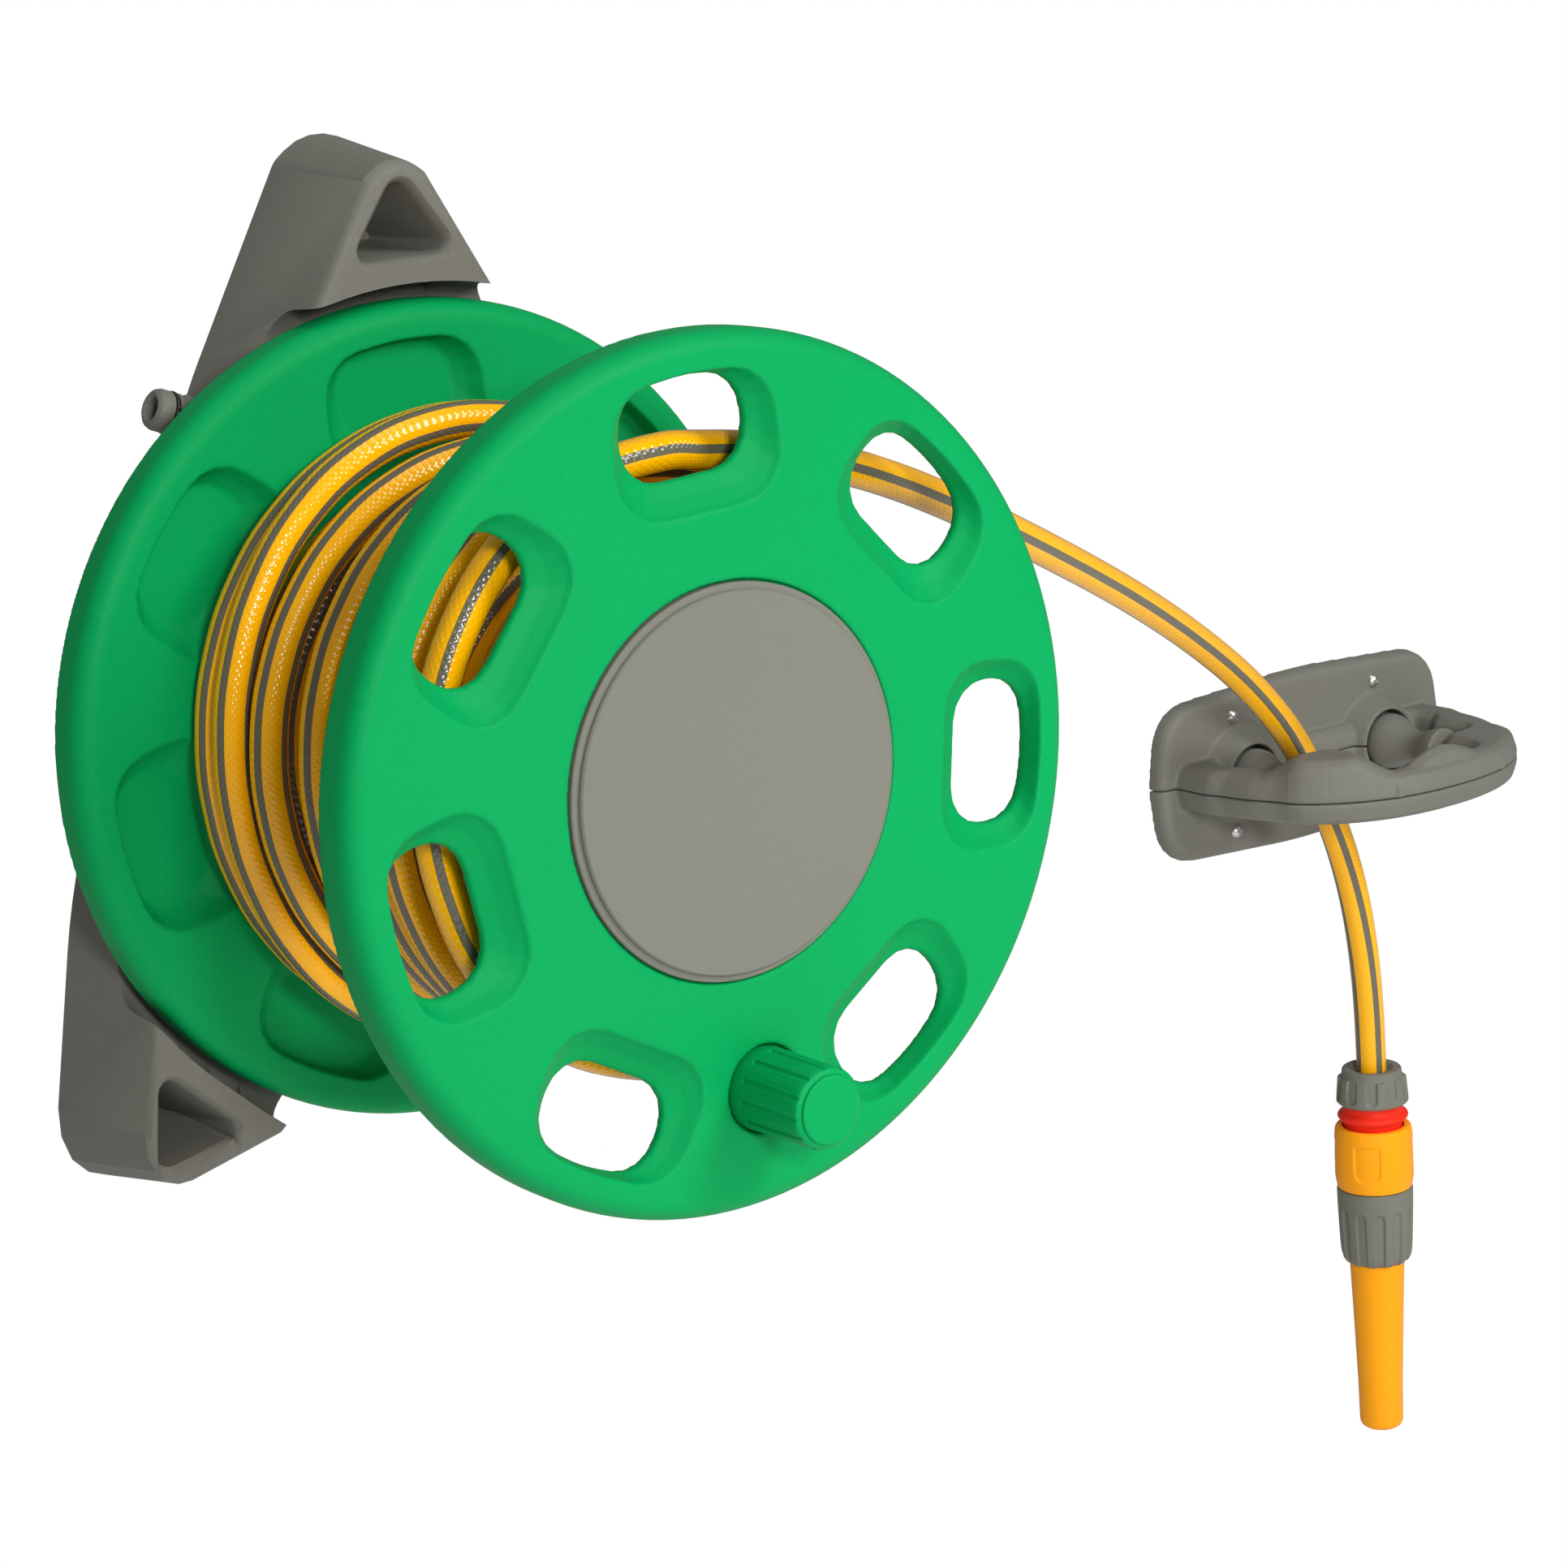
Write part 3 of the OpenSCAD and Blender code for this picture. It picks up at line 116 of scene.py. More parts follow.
def hose_piece(name, points, outwards, stripe_at, smooth=5, sides=8):
    """A hose along the points. Its UVs are metres along it and turns round it, and one
    of its four stripes lies stripe_at() degrees from the direction that outwards() gives."""
    line = bpy.data.curves.new(name + "_line", "CURVE")
    line.dimensions = "3D"
    spline = line.splines.new("BEZIER")
    spline.bezier_points.add(len(points) - 1)
    for knot, place in zip(spline.bezier_points, points):
        knot.co = place
        knot.handle_left_type = knot.handle_right_type = "AUTO"
    spline.resolution_u = smooth
    carrier = bpy.data.objects.new(name + "_line", line)
    bpy.context.scene.collection.objects.link(carrier)
    path = [v.co.copy() for v in bpy.data.meshes.new_from_object(
        carrier.evaluated_get(bpy.context.evaluated_depsgraph_get())).vertices]
    line.bevel_depth = HOSE_R
    line.bevel_resolution = sides
    line.use_fill_caps = True
    mesh = bpy.data.meshes.new_from_object(
        carrier.evaluated_get(bpy.context.evaluated_depsgraph_get()))
    bpy.data.objects.remove(carrier)
    length = sum((b - a).length for a, b in zip(path, path[1:]))
    # The mesh lists the rings of its two end caps before those of the wall.
    ring, caps = 2 * sides + 4, 2
    turn = [0] * caps * ring
    for k, centre in enumerate(path):
        ahead = (path[min(k + 1, len(path) - 1)] - path[max(k - 1, 0)]).normalized()
        top = outwards(centre)
        top = (top - ahead * top.dot(ahead)).normalized()
        side = ahead.cross(top)
        for v in mesh.vertices[ring * (k + caps):ring * (k + caps + 1)]:
            arm = v.co - centre
            round_it = math.atan2(arm.dot(side), arm.dot(top)) / (2 * math.pi)
            turn.append(round_it - stripe_at(centre) / 360 + FIRST_STRIPE)
    lay = mesh.uv_layers[0].data
    for face in mesh.polygons:
        first = turn[mesh.loops[face.loop_start].vertex_index]
        for corner in face.loop_indices:
            here = turn[mesh.loops[corner].vertex_index]
            lay[corner].uv = (lay[corner].uv.x * length, here - round(here - first))
    whole = bmesh.new()
    whole.from_mesh(mesh)
    bmesh.ops.remove_doubles(whole, verts=whole.verts, dist=1e-6)
    whole.to_mesh(mesh)
    whole.free()
    mesh.shade_smooth()
    hose = bpy.data.objects.new(name, mesh)
    bpy.context.scene.collection.objects.link(hose)
    return hose, path, length


def new_material(name, colour, roughness, metallic=0.0):
    """A material and its Principled shader."""
    finish = bpy.data.materials.new(name)
    finish.use_nodes = True
    shader = finish.node_tree.nodes["Principled BSDF"]
    shader.inputs["Base Color"].default_value = (*colour, 1)
    shader.inputs["Roughness"].default_value = roughness
    shader.inputs["Metallic"].default_value = metallic
    return finish, finish.node_tree.nodes, finish.node_tree.links, shader


def give(piece, finish):
    piece.data.materials.clear()
    piece.data.materials.append(finish)


def maths(nodes, links, operation, a, b=None, c=None):
    """One Math node; numbers are set and sockets are linked."""
    node = nodes.new("ShaderNodeMath")
    node.operation = operation
    for socket, value in zip(node.inputs, (a, b, c)):
        if value is None:
            continue
        if isinstance(value, (int, float)):
            socket.default_value = value
        else:
            links.new(value, socket)
    return node.outputs[0]


hose_wall, n, k, shader = new_material("hose_wall", (0.93, 0.42, 0.02), 0.16)
shader.inputs["Specular IOR Level"].default_value = 0.45
lay = n.new("ShaderNodeUVMap")
lay.uv_map = "UVMap"
split = n.new("ShaderNodeSeparateXYZ")
k.new(lay.outputs[0], split.inputs[0])
quarter = maths(n, k, "FRACT", maths(n, k, "MULTIPLY", split.outputs[1], 4))
from_stripe = maths(n, k, "ABSOLUTE", maths(n, k, "SUBTRACT", quarter, 0.5))
stripe = n.new("ShaderNodeMapRange")
stripe.interpolation_type = "SMOOTHSTEP"
stripe.inputs["From Min"].default_value = 0.162
stripe.inputs["From Max"].default_value = 0.138
k.new(from_stripe, stripe.inputs["Value"])
THREADS_AROUND, THREADS_PER_METRE = 16, 290
around = maths(n, k, "MULTIPLY", split.outputs[1], 2 * math.pi * THREADS_AROUND)
along = maths(n, k, "MULTIPLY", split.outputs[0], 2 * math.pi * THREADS_PER_METRE)
left_thread = maths(n, k, "SINE", maths(n, k, "ADD", around, along))
right_thread = maths(n, k, "SINE", maths(n, k, "SUBTRACT", along, around))
braid = maths(n, k, "MULTIPLY", maths(n, k, "ADD", left_thread, 1), maths(n, k, "ADD", right_thread, 1))
lumps = n.new("ShaderNodeTexNoise")
lumps.inputs["Scale"].default_value = 260
lumps.inputs["Detail"].default_value = 2
where = n.new("ShaderNodeTexCoord")
k.new(where.outputs["Object"], lumps.inputs["Vector"])
yellow = n.new("ShaderNodeMix")
yellow.data_type = "RGBA"
yellow.inputs["A"].default_value = (0.98, 0.43, 0.0, 1)
yellow.inputs["B"].default_value = (1.0, 0.52, 0.0, 1)
k.new(maths(n, k, "MULTIPLY_ADD", braid, 0.12, maths(n, k, "MULTIPLY", lumps.outputs["Fac"], 0.6)),
      yellow.inputs["Factor"])
wall_colour = n.new("ShaderNodeMix")
wall_colour.data_type = "RGBA"
wall_colour.inputs["B"].default_value = (0.135, 0.122, 0.082, 1)
k.new(stripe.outputs[0], wall_colour.inputs["Factor"])
k.new(yellow.outputs["Result"], wall_colour.inputs["A"])
k.new(wall_colour.outputs["Result"], shader.inputs["Base Color"])
ripple = n.new("ShaderNodeBump")
ripple.inputs["Strength"].default_value = 0.22
ripple.inputs["Distance"].default_value = 0.0002
k.new(maths(n, k, "ADD", braid, maths(n, k, "MULTIPLY", lumps.outputs["Fac"], 1.5)), ripple.inputs["Height"])
k.new(ripple.outputs["Normal"], shader.inputs["Normal"])

free_route = [wrap_point(i) for i in range(WRAP_RINGS + 1)] + [from_wall(*p) for p in ROUTE]
for _ in range(3):
    loose = free_route[WRAP_RINGS:]
    inner = [(a + 2 * b + c) / 4 for a, b, c in zip(loose, loose[1:], loose[2:])]
    free_route = free_route[:WRAP_RINGS + 1] + inner + free_route[-1:]
free_hose, free_path, free_length = hose_piece("free_hose", free_route, lambda spot: to_viewer, free_stripe)
give(free_hose, hose_wall)
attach(free_hose, "frame")
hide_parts("hose_free")


# The outer layer of the wound hose lies in loose turns that step over to the next one where
# the front flange hides them. The first three lie close, and then dark gaps open to the layer
# below. The layers are turned by as many degrees as the solid reel.
TURN_START, TURN_STEPS, TURN_SHIFT, OUTER_STRIPE, INNER_STRIPE = 100, 24, 2.6, 22, 60
TURN_H = [79.3, 97.1, 115.8, 148.2, 173.7, 193.2, 211.7, 230]
TURN_R = [135.5, 141.4, 126, 124.5, 123.5, 125.5, 127.5, 127.5]
TURN_DENT = [6.5, 11.3, 3, 6.5, 6, 6, 6, 6]


def stepped(values, t):
    """A value that stays even for half a turn and then eases over to the next one."""
    k = min(int(t), len(values) - 1)
    e = ease((t - k - 0.6) / 0.5) + ease((t - k + 0.4) / 0.5) - 1
    near = values[min(k + 1, len(values) - 1)] - values[k] if e >= 0 else values[k] - values[max(k - 1, 0)]
    return values[k] + e * near


def wound(radii, heights, dents, turns):
    """Points of a layer, which has a straight piece at each end, as long as the hose is thick."""
    spots = []
    for i in range(int(turns * TURN_STEPS) + 1):
        a = math.radians(TURN_START + 360 * i / TURN_STEPS)
        r = stepped(radii, i / TURN_STEPS) - stepped(dents, i / TURN_STEPS) * max(0, -math.sin(a)) ** 2
        a -= math.radians(TURN_SHIFT)
        spots.append(from_wall(r * math.sin(a), r * math.cos(a), stepped(heights, i / TURN_STEPS)))
    head = spots[0] - (spots[1] - spots[0]).normalized() * 2 * HOSE_R
    tail = spots[-1] + (spots[-1] - spots[-2]).normalized() * 2 * HOSE_R
    return [head] + spots + [tail]


def off_the_drum(spot):
    """Straight away from the reel's axis."""
    return Vector((spot.x, 0, spot.z))


outer_turns, outer_path, outer_length = hose_piece(
    "outer_turns", wound(TURN_R, TURN_H, TURN_DENT, 7), off_the_drum, lambda spot: OUTER_STRIPE)
give(outer_turns, hose_wall)
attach(outer_turns, "reel")
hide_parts("hose_outer_layer")


def add_piece(name, bm, body, finish, smooth_angle=35):
    """Links a finished bmesh as a piece that rides on a body."""
    mesh = bpy.data.meshes.new(name)
    bm.to_mesh(mesh)
    bm.free()
    mesh.shade_smooth()
    mesh.set_sharp_from_angle(angle=math.radians(smooth_angle))
    piece = bpy.data.objects.new(name, mesh)
    bpy.context.scene.collection.objects.link(piece)
    give(piece, finish)
    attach(piece, body)
    return piece


def turned(profile):
    """A bmesh of a closed profile of (radius, height off the wall) in mm, spun about the reel's axis."""
    bm = bmesh.new()
    ring = [bm.verts.new(from_wall(r, 0, z)) for r, z in profile]
    edges = [bm.edges.new(pair) for pair in zip(ring, ring[1:])]
    edges.append(bm.edges.new((ring[-1], ring[0])))
    bmesh.ops.spin(bm, geom=ring + edges, cent=(0, 0, 0), axis=(0, 1, 0),
                   angle=2 * math.pi, steps=96, use_merge=True)
    bmesh.ops.remove_doubles(bm, verts=bm.verts, dist=1e-6)
    bmesh.ops.recalc_face_normals(bm, faces=bm.faces)
    return bm


# The layers below fill the drum. Only the tops of their turns show, in the furrows between
# the outer ones, so the next layer is wound and the rest is a round core.
below, _, _ = hose_piece(
    "below", wound([109.2, 107] + [100] * 7, [88, 106, 124, 141.7, 159.4, 177, 194.7, 212.4, 230],
                   [0] * 9, 8),
    off_the_drum, lambda spot: INNER_STRIPE, smooth=3, sides=5)
core = turned([(76, 71.5), (113, 71.5), (113, 99), (101, 102), (101, 236), (97, 239), (95.8, 240),
               (95.8, 263), (76, 263)])
core.from_mesh(below.data)
bpy.data.objects.remove(below)
inner_turns = add_piece("inner_turns", core, "reel", hose_wall)
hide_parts("hose_inner_layers")


# Everything moulded has a fine spark-eroded grain and a slightly cloudy tone.
# The bracket, the guide and the fittings are dark grey, and the reel is green.
grain = bpy.data.node_groups.new("moulded_grain", "ShaderNodeTree")
for side, title, kind in (("INPUT", "Light", "NodeSocketColor"), ("INPUT", "Dark", "NodeSocketColor"),
                          ("OUTPUT", "Color", "NodeSocketColor"), ("OUTPUT", "Height", "NodeSocketFloat"),
                          ("OUTPUT", "Gloss", "NodeSocketFloat")):
    grain.interface.new_socket(title, in_out=side, socket_type=kind)
g, gl = grain.nodes, grain.links
g_in, g_out = g.new("NodeGroupInput"), g.new("NodeGroupOutput")
place = g.new("ShaderNodeTexCoord")
pits = g.new("ShaderNodeTexNoise")
pits.inputs["Scale"].default_value = 1500
pits.inputs["Detail"].default_value = 2
speckle = g.new("ShaderNodeTexNoise")
speckle.inputs["Scale"].default_value = 520
speckle.inputs["Detail"].default_value = 3
cloud = g.new("ShaderNodeTexNoise")
cloud.inputs["Scale"].default_value = 14
cloud.inputs["Detail"].default_value = 2
for texture in (pits, speckle, cloud):
    gl.new(place.outputs["Object"], texture.inputs["Vector"])
blotch = maths(g, gl, "ADD", maths(g, gl, "MULTIPLY", speckle.outputs["Fac"], 0.55),
               maths(g, gl, "MULTIPLY", cloud.outputs["Fac"], 0.45))
blotch_range = g.new("ShaderNodeMapRange")
blotch_range.inputs["From Min"].default_value = 0.3
blotch_range.inputs["From Max"].default_value = 0.7
gl.new(blotch, blotch_range.inputs["Value"])
tone = g.new("ShaderNodeMix")
tone.data_type = "RGBA"
gl.new(blotch_range.outputs[0], tone.inputs["Factor"])
gl.new(g_in.outputs["Dark"], tone.inputs["A"])
gl.new(g_in.outputs["Light"], tone.inputs["B"])
gl.new(tone.outputs["Result"], g_out.inputs["Color"])
gl.new(maths(g, gl, "ADD", pits.outputs["Fac"], maths(g, gl, "MULTIPLY", speckle.outputs["Fac"], 0.8)),
       g_out.inputs["Height"])
gl.new(maths(g, gl, "MULTIPLY_ADD", speckle.outputs["Fac"], 0.22, 0.36), g_out.inputs["Gloss"])


def moulding(name, light, dark, strength=0.35, shine=0.14):
    """A moulded plastic with the grain, in its own two tones."""
    finish, n, k, shader = new_material(name, light, 0.5)
    shader.inputs["Specular IOR Level"].default_value = shine
    skin = n.new("ShaderNodeGroup")
    skin.node_tree = grain
    skin.inputs["Light"].default_value = (*light, 1)
    skin.inputs["Dark"].default_value = (*dark, 1)
    k.new(skin.outputs["Color"], shader.inputs["Base Color"])
    k.new(skin.outputs["Gloss"], shader.inputs["Roughness"])
    bump = n.new("ShaderNodeBump")
    bump.inputs["Strength"].default_value = strength
    bump.inputs["Distance"].default_value = 0.0003
    k.new(skin.outputs["Height"], bump.inputs["Height"])
    k.new(bump.outputs["Normal"], shader.inputs["Normal"])
    return finish


grey_moulding = moulding("grey_moulding", (0.182, 0.18, 0.154), (0.158, 0.156, 0.133))
grey_nylon = moulding("grey_nylon", (0.3, 0.29, 0.27), (0.25, 0.24, 0.22), 0.1)


# The moulded pieces start from their solids: the soft ones by a fine remesh that is relaxed
# and thinned to the limit of triangles, and the crisp ones with their edges broken.
FACE_LIMIT = 190000


def softened(node, name, voxel, rounds, finish, body, backing=0):
    """A copy of a moulded node with the soft edges that it has in the real moulding. A backing
    thickens its thin walls towards the wall."""
    bm = bmesh.new()
    bm.from_mesh(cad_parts[node].data)
    bmesh.ops.remove_doubles(bm, verts=bm.verts, dist=1e-6)
    if backing:
        copy = bmesh.ops.duplicate(bm, geom=bm.verts[:] + bm.edges[:] + bm.faces[:])
        moved = [part for part in copy["geom"] if isinstance(part, bmesh.types.BMVert)]
        bmesh.ops.translate(bm, vec=(0, backing, 0), verts=moved)
    rough = bpy.data.meshes.new(name + "_rough")
    bm.to_mesh(rough)
    bm.free()
    carrier = bpy.data.objects.new(name + "_rough", rough)
    bpy.context.scene.collection.objects.link(carrier)
    skin = carrier.modifiers.new("skin", "REMESH")
    skin.mode = "VOXEL"
    skin.voxel_size = voxel
    relax = carrier.modifiers.new("relax", "SMOOTH")
    relax.factor = 0.5
    relax.iterations = rounds
    mesh = bpy.data.meshes.new_from_object(
        carrier.evaluated_get(bpy.context.evaluated_depsgraph_get()))
    bpy.data.objects.remove(carrier)
    faces = 2 * len(mesh.polygons)
    if faces > FACE_LIMIT:
        carrier = bpy.data.objects.new(name + "_dense", mesh)
        bpy.context.scene.collection.objects.link(carrier)
        carrier.modifiers.new("thin", "DECIMATE").ratio = FACE_LIMIT / faces
        mesh = bpy.data.meshes.new_from_object(
            carrier.evaluated_get(bpy.context.evaluated_depsgraph_get()))
        bpy.data.objects.remove(carrier)
    mesh.shade_smooth()
    mesh.name = name
    piece = bpy.data.objects.new(name, mesh)
    bpy.context.scene.collection.objects.link(piece)
    give(piece, finish)
    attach(piece, body)
    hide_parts(node)
    return piece


def polished(node, name, finish, body, edge=0.0005, angle=32):
    """A copy of a node with its flats joined and its sharp edges broken."""
    bm = bmesh.new()
    bm.from_mesh(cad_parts[node].data)
    bmesh.ops.remove_doubles(bm, verts=bm.verts, dist=1e-6)
    bmesh.ops.dissolve_limit(bm, angle_limit=math.radians(0.6), verts=bm.verts, edges=bm.edges)
    piece = add_piece(name, bm, body, finish, angle)
    if edge:
        bevel = piece.modifiers.new("edge", "BEVEL")
        bevel.width = edge
        bevel.segments = 3
        bevel.limit_method = "ANGLE"
        bevel.angle_limit = math.radians(angle)
        bevel.harden_normals = True
    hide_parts(node)
    return piece


# The bracket is one hollow moulding that stands on the wall on three lobes. Each lobe has a
# deep pocket for its wall screw, and the lobes' inner walls follow the flange.
# The two lower lobes are drawn down by a few mm round their pockets, whose outlines are given
# in mm from the axis along the lobe and to its side.
LOBE_TURN, LOBE_DROP, DROP_START, DROP_LENGTH = math.radians(137), 0.0068, -0.148, 0.036
POCKET_START, POCKET_TIP, POCKET_SLOPE, POCKET_EDGE, WALL_START = 203, 253.5, 0.711, 3.2, 212
bracket = polished("wall_bracket", "bracket", grey_moulding, "frame", 0.0014, 40)
outer_wall = set()
for face in bracket.data.polygons:
    lobe_side = math.copysign(math.sin(LOBE_TURN), face.center.x)
    if face.normal.dot(Vector((lobe_side, 0, math.cos(LOBE_TURN)))) > 0.2:
        outer_wall.update(face.vertices)
for v in bracket.data.vertices:
    turn = math.atan2(abs(v.co.x), v.co.z) - LOBE_TURN
    from_axis = 1000 * math.hypot(v.co.x, v.co.z)
    aside, out = abs(from_axis * math.sin(turn)), from_axis * math.cos(turn)
    in_pocket = out > POCKET_START and aside < (POCKET_TIP - out) * POCKET_SLOPE + POCKET_EDGE
    if not in_pocket or (out > WALL_START and v.index in outer_wall):
        v.co.z -= LOBE_DROP * ease((DROP_START - v.co.z) / DROP_LENGTH)


# The spindle is a turned nylon post with water inside. Screws, seals and a clip hold
# the reel on it, and only its ends show between the windows.
zinc, n, k, shader = new_material("zinc", (0.62, 0.62, 0.6), 0.32, 1.0)
brushed = n.new("ShaderNodeTexNoise")
brushed.inputs["Scale"].default_value = 900
where = n.new("ShaderNodeTexCoord")
k.new(where.outputs["Object"], brushed.inputs["Vector"])
k.new(maths(n, k, "MULTIPLY_ADD", brushed.outputs["Fac"], 0.3, 0.18), shader.inputs["Roughness"])
seal_rubber, n, k, shader = new_material("seal_rubber", (0.012, 0.012, 0.012), 0.3)
dusty = n.new("ShaderNodeTexNoise")
dusty.inputs["Scale"].default_value = 300
where = n.new("ShaderNodeTexCoord")
k.new(where.outputs["Object"], dusty.inputs["Vector"])
k.new(maths(n, k, "MULTIPLY_ADD", dusty.outputs["Fac"], 0.2, 0.16), shader.inputs["Roughness"])
for finish, nodes in (
        (grey_nylon, ("spindle", "outlet_elbow")),
        (grey_moulding, ("drum_core", "inlet_pipe", "connector_body")),
        (seal_rubber, ("spindle_seals", "nozzle_seal")),
        (zinc, ("spindle_screws", "spindle_clip", "drum_screws", "flange_screws", "crank_pin",
                "roller_pins"))):
    for node in nodes:
        give(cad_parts[node], finish)


# The tap spigot stands out at the upper left. It is a turned moulding with a ridge,
# a groove for its seal and a chamfered nose.
spigot = polished("inlet_spigot", "spigot", grey_moulding, "frame", 0.0004)
spigot_seal = polished("inlet_seal", "spigot_seal", seal_rubber, "frame", 0)


# Both flanges come from the same kind of mould: a dished green disc with a round rim.
# The rear one has blind recesses, and the front one has open windows.
green_moulding = moulding("green_moulding", (0.001, 0.325, 0.088), (0.0005, 0.3, 0.076), shine=0.08)
rear_flange = softened("back_flange", "rear_flange", 0.001, 6, green_moulding, "reel", backing=0.0009)
open_flange = softened("front_flange", "open_flange", 0.001, 6, green_moulding, "reel", backing=0.0013)


# The hub cap is a flat grey disc with a fine step round its rim, pressed on over the screws.
# A notch in the rim lets it be lifted off.
grey_cover = moulding("grey_cover", (0.182, 0.18, 0.15), (0.172, 0.17, 0.142), 0.25)
cover = polished("hub_cap", "cover", grey_cover, "reel", 0.0006)


# The crank knob turns on its pin. It is green, with grip grooves and a raised end disc.
grip = polished("crank_knob", "grip", green_moulding, "knob", 0.0005)
grip_end = polished("knob_cap", "grip_end", green_moulding, "knob", 0.0004)


# The guide is two grey shells that close round the pins of two hourglass rollers.
# Four cross-recess screws hold its plate on the wall. The ring's outline is a superellipse,
# and a lip rises from it where the hose lies. All sizes are in metres.
GUIDE_X, PARTING_Z, RING_OFF, RING_HALF, RING_DEPTH = 0.614, -0.147, 0.028, 0.102, 0.099
RING_POWER, CORNER_POWER, CORNER_STEP, RIM_START, RIM_WIDTH = 2.3, 0.87, 15, 0.72, 0.15
LIP_X, LIP_OFF, LIP_RISE, LIP_FLAT, LIP_SLOPE, LIP_BASE = 0.549, 0.088, 0.0105, 0.015, 0.024, 0.014


def ring_corner(a):
    """A corner of the solid ring's outline, as a share of the ring's half width and depth."""
    return math.copysign(abs(math.cos(a)) ** CORNER_POWER, math.cos(a)), abs(math.sin(a)) ** CORNER_POWER


RING_CORNERS = [ring_corner(math.radians(180 - CORNER_STEP * i)) for i in range(180 // CORNER_STEP + 1)]


def ring_stretch(x, off):
    """The factor that moves a spot away from the ring's middle, to make its outline a smooth curve."""
    u, w = x / RING_HALF, (off - RING_OFF) / RING_DEPTH
    if w <= 0:
        return 1
    way = math.atan2(w, u)
    for p, q in zip(RING_CORNERS, RING_CORNERS[1:]):
        if math.atan2(q[1], q[0]) <= way:
            break
    flat = (p[0] * q[1] - p[1] * q[0]) / (math.cos(way) * (q[1] - p[1]) - math.sin(way) * (q[0] - p[0]))
    curve = (abs(math.cos(way)) ** RING_POWER + math.sin(way) ** RING_POWER) ** (-1 / RING_POWER)
    return 1 + (curve / flat - 1) * ease((math.hypot(u, w) / flat - RIM_START) / RIM_WIDTH)


def side_shift(aside, off):
    """How far the guide's side walls lie inwards behind the ring."""
    behind_ring = ease((off - 0.032) / 0.012) * (1 - ease((off - 0.07) / 0.02))
    return 0.007 * behind_ring * min(ease((aside - 0.06) / 0.012), max(0, (0.1125 - aside) / 0.0345))


upper_shell = softened("guide_upper_shell", "upper_shell", 0.0008, 16, grey_moulding, "frame")
lower_shell = softened("guide_lower_shell", "lower_shell", 0.0008, 16, grey_moulding, "frame")
for shell in (upper_shell, lower_shell):
    for v in shell.data.vertices:
        off = -v.co.y
        if shell is upper_shell:
            from_lip = math.hypot(v.co.x - LIP_X, off - LIP_OFF)
            on_lip = 1 - ease((from_lip - LIP_FLAT) / LIP_SLOPE)
            v.co.z += LIP_RISE * on_lip * ease((v.co.z - PARTING_Z) / LIP_BASE)
        v.co.x -= math.copysign(side_shift(abs(v.co.x - GUIDE_X), off), v.co.x - GUIDE_X)
        stretch = ring_stretch(v.co.x - GUIDE_X, off)
        v.co.x = GUIDE_X + (v.co.x - GUIDE_X) * stretch
        if off > RING_OFF:
            v.co.y = -RING_OFF + (v.co.y + RING_OFF) * stretch
left_roller = polished("guide_roller_left", "left_roller", grey_moulding, "left_roller", 0.0005)
right_roller = polished("guide_roller_right", "right_roller", grey_moulding, "right_roller", 0.0005)
wall_screws = polished("guide_screws", "wall_screws", zinc, "frame", 0.0002)


# The connector hangs from the hose: a fluted nut, a red ring and an orange sleeve that
# slides back to let the nozzle go. Its sizes are in mm, and its heights count from the reel's axis.
connector_grey = moulding("connector_grey", (0.185, 0.185, 0.155), (0.17, 0.17, 0.14), 0.25)
orange_moulding = moulding("orange_moulding", (1.0, 0.385, 0.006), (0.97, 0.36, 0.005), 0.06)
red_moulding = moulding("red_moulding", (0.9, 0.03, 0.012), (0.85, 0.025, 0.01), 0.06)
HANG_X, HANG_OFF, FACING_X, FACING_Y = 618.5, 50, -0.718, -0.696
LATHE_STEPS, BAND, OUTSIDE_R = 240, 0.8, 16
FLUTE_DEPTH, FLUTE_STEP, FLUTE_HALF, NUT_R, FLUTE_TOP, FLUTE_END = 1.5, 36, 3.2, 20, -330.2, -340.3
PAD_DEPTH, PAD_TURN, PAD_HALF, PAD_TOP, PAD_FOOT, PAD_CORNER, SLEEVE_R = 0.8, -10.5, 7.7, -368, -383, 6, 22.7


def lathed(profile, dent=None):
    """A bmesh of a closed profile of (radius, height) in mm, turned about the hanging hose. The dents
    are pressed into its outside, at degrees to the right of the camera's side and at a height."""
    points = []
    for (r0, h0), (r1, h1) in zip(profile, profile[1:] + profile[:1]):
        n = math.ceil(math.hypot(r1 - r0, h1 - h0) / BAND) if dent and min(r0, r1) > OUTSIDE_R else 1
        points += [(r0 + (r1 - r0) * i / n, h0 + (h1 - h0) * i / n) for i in range(n)]
    bm = bmesh.new()
    rings = []
    for k in range(LATHE_STEPS):
        c, s = math.cos(2 * math.pi * k / LATHE_STEPS), math.sin(2 * math.pi * k / LATHE_STEPS)
        side = Vector((FACING_X * c - FACING_Y * s, FACING_X * s + FACING_Y * c, 0))
        rings.append([])
        for r, h in points:
            depth = dent(360 * k / LATHE_STEPS, h) if dent and r > OUTSIDE_R else 0
            rings[-1].append(bm.verts.new((Vector((HANG_X, -HANG_OFF, h)) + side * (r - depth)) / 1000))
    for a, b in zip(rings, rings[1:] + rings[:1]):
        for i, j in zip(range(len(points)), list(range(1, len(points))) + [0]):
            if points[i][0] or points[j][0]:
                bm.faces.new((a[i], b[i], b[j], a[j]))
    bmesh.ops.remove_doubles(bm, verts=bm.verts, dist=1e-6)
    bmesh.ops.recalc_face_normals(bm, faces=bm.faces)
    return bm


def groove(turn, start, step, radius, half, beyond):
    """1 on the floor of a round-ended groove and 0 on the ridges. Spots beyond its end are
    measured from there."""
    aside = math.radians(abs((turn - start + step / 2) % step - step / 2)) * radius
    return ease((half - math.hypot(aside, max(0, beyond))) / 1.1 + 0.5)


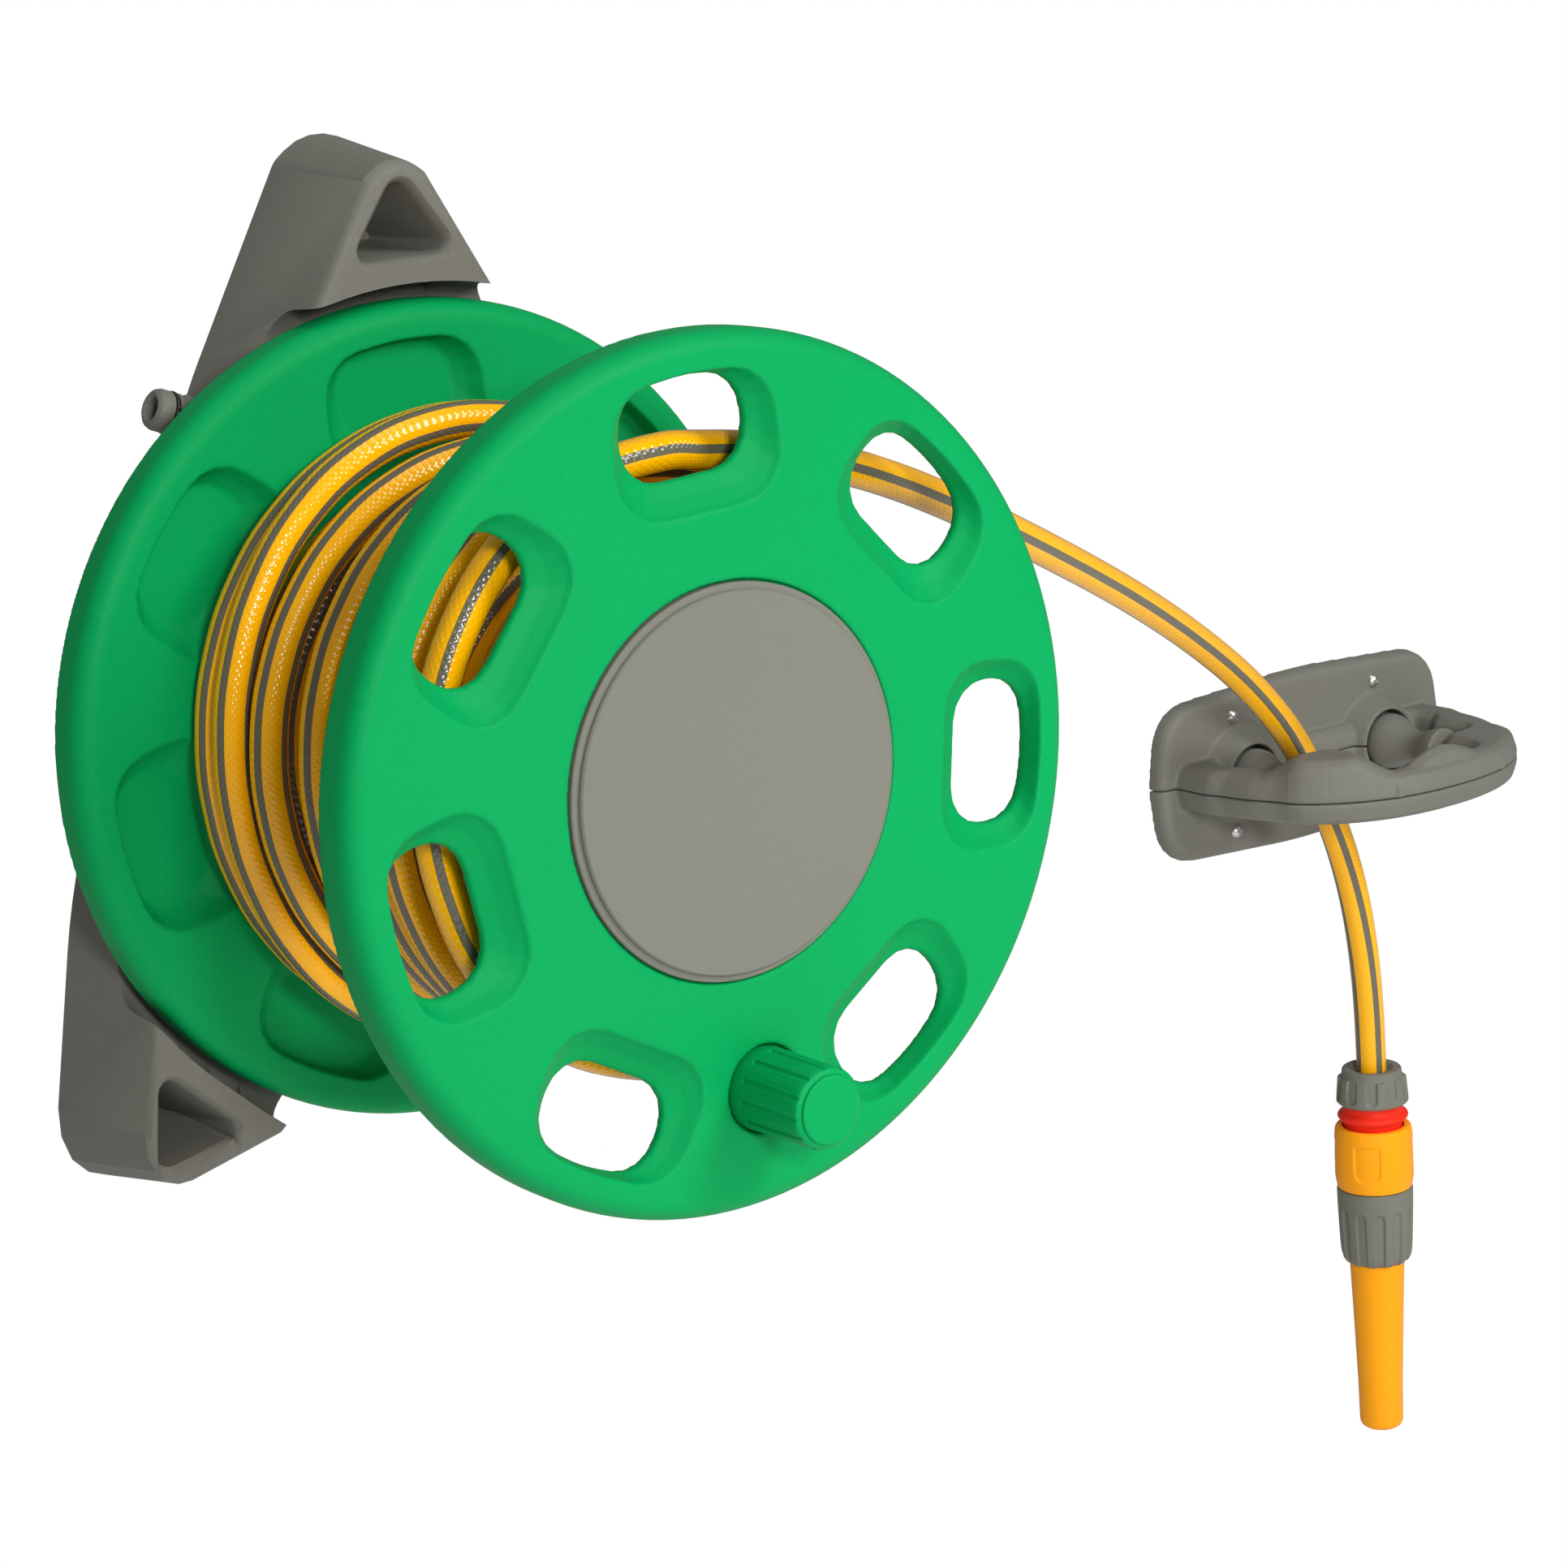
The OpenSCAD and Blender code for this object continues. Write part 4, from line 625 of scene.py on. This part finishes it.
def nut_dent(turn, h):
    """Wide flutes that begin under the nut's shoulder and end round above its foot."""
    flute = groove(turn, -1, FLUTE_STEP, NUT_R, FLUTE_HALF, FLUTE_END - h)
    return FLUTE_DEPTH * flute * ease((FLUTE_TOP - h) / 0.8)


def pad_dent(turn, h):
    """A shallow pad with a round foot, once on each quarter."""
    aside = math.radians(abs((turn - PAD_TURN + 45) % 90 - 45)) * SLEEVE_R
    foot = PAD_FOOT - math.sqrt(max(0, PAD_CORNER ** 2 - max(0, aside - (PAD_HALF - PAD_CORNER)) ** 2))
    return PAD_DEPTH * ease(min(PAD_HALF - aside, PAD_TOP - h, h - foot) / 0.9 + 0.5)


nut_profile = [
    (8.8, -328.4), (9.6, -328.4), (12.4, -325.9), (16.2, -325.7), (16.9, -326.4), (17.3, -329.6),
    (17.9, -330.3), (19, -330.8), (19.6, -331.8), (20.5, -343), (20.6, -345), (19.8, -346), (18.4, -346.4),
    (13.1, -346.4), (13.1, -333), (8.8, -329.6)]
nut = add_piece("nut", lathed(nut_profile, nut_dent), "frame", connector_grey)
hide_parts("connector_nut")
ring_profile = [
    (11.2, -346.6), (16.8, -346.7), (16.9, -350.2), (17.6, -351.4), (19, -352.1), (19.9, -353), (20.2, -354),
    (19.9, -355), (19, -355.9), (17.6, -356.5), (16.9, -357.4), (16.6, -359), (16.6, -364), (15.7, -364),
    (15.7, -358.3), (11.2, -358.3)]
red_ring = add_piece("red_ring", lathed(ring_profile), "frame", red_moulding)
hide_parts("connector_ring")
sleeve_profile = [
    (17.5, -360.4), (18, -359.9), (20.2, -359.8), (21.1, -360.3), (21.8, -361.4), (22.2, -364), (22.5, -368),
    (22.7, -373), (22.8, -379), (22.75, -384), (22.6, -388), (22.3, -391.5), (21.8, -394.5), (21.3, -396.5),
    (15.9, -396.5), (15.9, -369), (17.5, -368)]
sleeve = add_piece("sleeve", lathed(sleeve_profile, pad_dent), "sleeve", orange_moulding)
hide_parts("connector_sleeve")


# The nozzle plugs into the connector. The orange barrel turns on its grey, grooved collar.
GRIP_DEPTH, GRIP_START, GRIP_STEP, GRIP_HALF, COLLAR_R, GRIP_END = 1.3, 6, 30, 2.8, 21.3, -411.8


def collar_dent(turn, h):
    """Grip grooves with round tops that run down over the collar's foot."""
    return GRIP_DEPTH * groove(turn, GRIP_START, GRIP_STEP, COLLAR_R, GRIP_HALF, h - GRIP_END)


collar_profile = [
    (0, -411.2), (5, -409.2), (5, -364.2), (7, -364.2), (8, -365.7), (8, -366.7), (6.3, -366.7),
    (6.3, -369.5), (8, -369.5), (8, -397.2), (20.9, -397.2), (21.7, -397.9), (21.8, -400), (21.6, -409),
    (21.2, -420), (20.8, -430), (20.4, -435.5), (19.8, -438.8), (18.6, -441), (17.2, -442), (13.05, -442),
    (13.05, -414.2), (3.5, -414.2), (3.5, -467), (2, -471), (0, -471)]
collar = add_piece("collar", lathed(collar_profile, collar_dent), "nozzle", connector_grey)
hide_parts("nozzle_collar")
barrel = polished("nozzle_barrel", "barrel", orange_moulding, "barrel", 0.0005)


# A pale floor lies below, and the surround is white. One soft lamp shines from the upper right,
# one from beside the camera, a small one on the guide and a weak one from above.
floor_finish, n, k, shader = new_material("floor", (0.95, 0.95, 0.95), 0.9)
bm = bmesh.new()
bmesh.ops.create_grid(bm, x_segments=1, y_segments=1, size=6,
                      matrix=Matrix.Translation((0.3, -0.5, cad_box[0].z - 0.25)))
floor_mesh = bpy.data.meshes.new("floor")
bm.to_mesh(floor_mesh)
bm.free()
floor = bpy.data.objects.new("floor", floor_mesh)
bpy.context.scene.collection.objects.link(floor)
give(floor, floor_finish)
glow = n.new("ShaderNodeEmission")
glow.inputs["Strength"].default_value = 1.0
rays = n.new("ShaderNodeLightPath")
mixed = n.new("ShaderNodeMixShader")
k.new(rays.outputs["Is Camera Ray"], mixed.inputs["Fac"])
k.new(shader.outputs[0], mixed.inputs[1])
k.new(glow.outputs[0], mixed.inputs[2])
k.new(mixed.outputs[0], n["Material Output"].inputs["Surface"])

world = bpy.data.worlds.new("surround")
bpy.context.scene.world = world
world.use_nodes = True
n, k = world.node_tree.nodes, world.node_tree.links
sky = n["Background"]
sky.inputs["Color"].default_value = (1, 1, 1, 1)
rays = n.new("ShaderNodeLightPath")
k.new(maths(n, k, "MULTIPLY_ADD", rays.outputs["Is Camera Ray"], 0.76, 0.24), sky.inputs["Strength"])


def soft_lamp(name, place, at, size, watts):
    """A square lamp at a place, turned to a spot."""
    lamp_data = bpy.data.lights.new(name, "AREA")
    lamp_data.shape = "SQUARE"
    lamp_data.size = size
    lamp_data.energy = watts
    lamp = bpy.data.objects.new(name, lamp_data)
    bpy.context.scene.collection.objects.link(lamp)
    aim = (Vector(at) - Vector(place)).to_track_quat("-Z", "Y")
    lamp.matrix_world = Matrix.Translation(place) @ aim.to_matrix().to_4x4()


soft_lamp("key", (1.2, -2.6, 1.8), (0.2, -0.1, 0), 1.0, 54)
soft_lamp("viewer", (-0.9, -2.7, 0.9), (0.0, -0.1, 0), 0.5, 42)
soft_lamp("guide", (0.15, -0.8, -0.1), (0.62, -0.05, -0.3), 0.4, 0.9)
soft_lamp("top", (0.2, -0.8, 2.4), (0.3, -0.1, 0), 1.0, 9)

bpy.context.scene.view_settings.view_transform = "Standard"
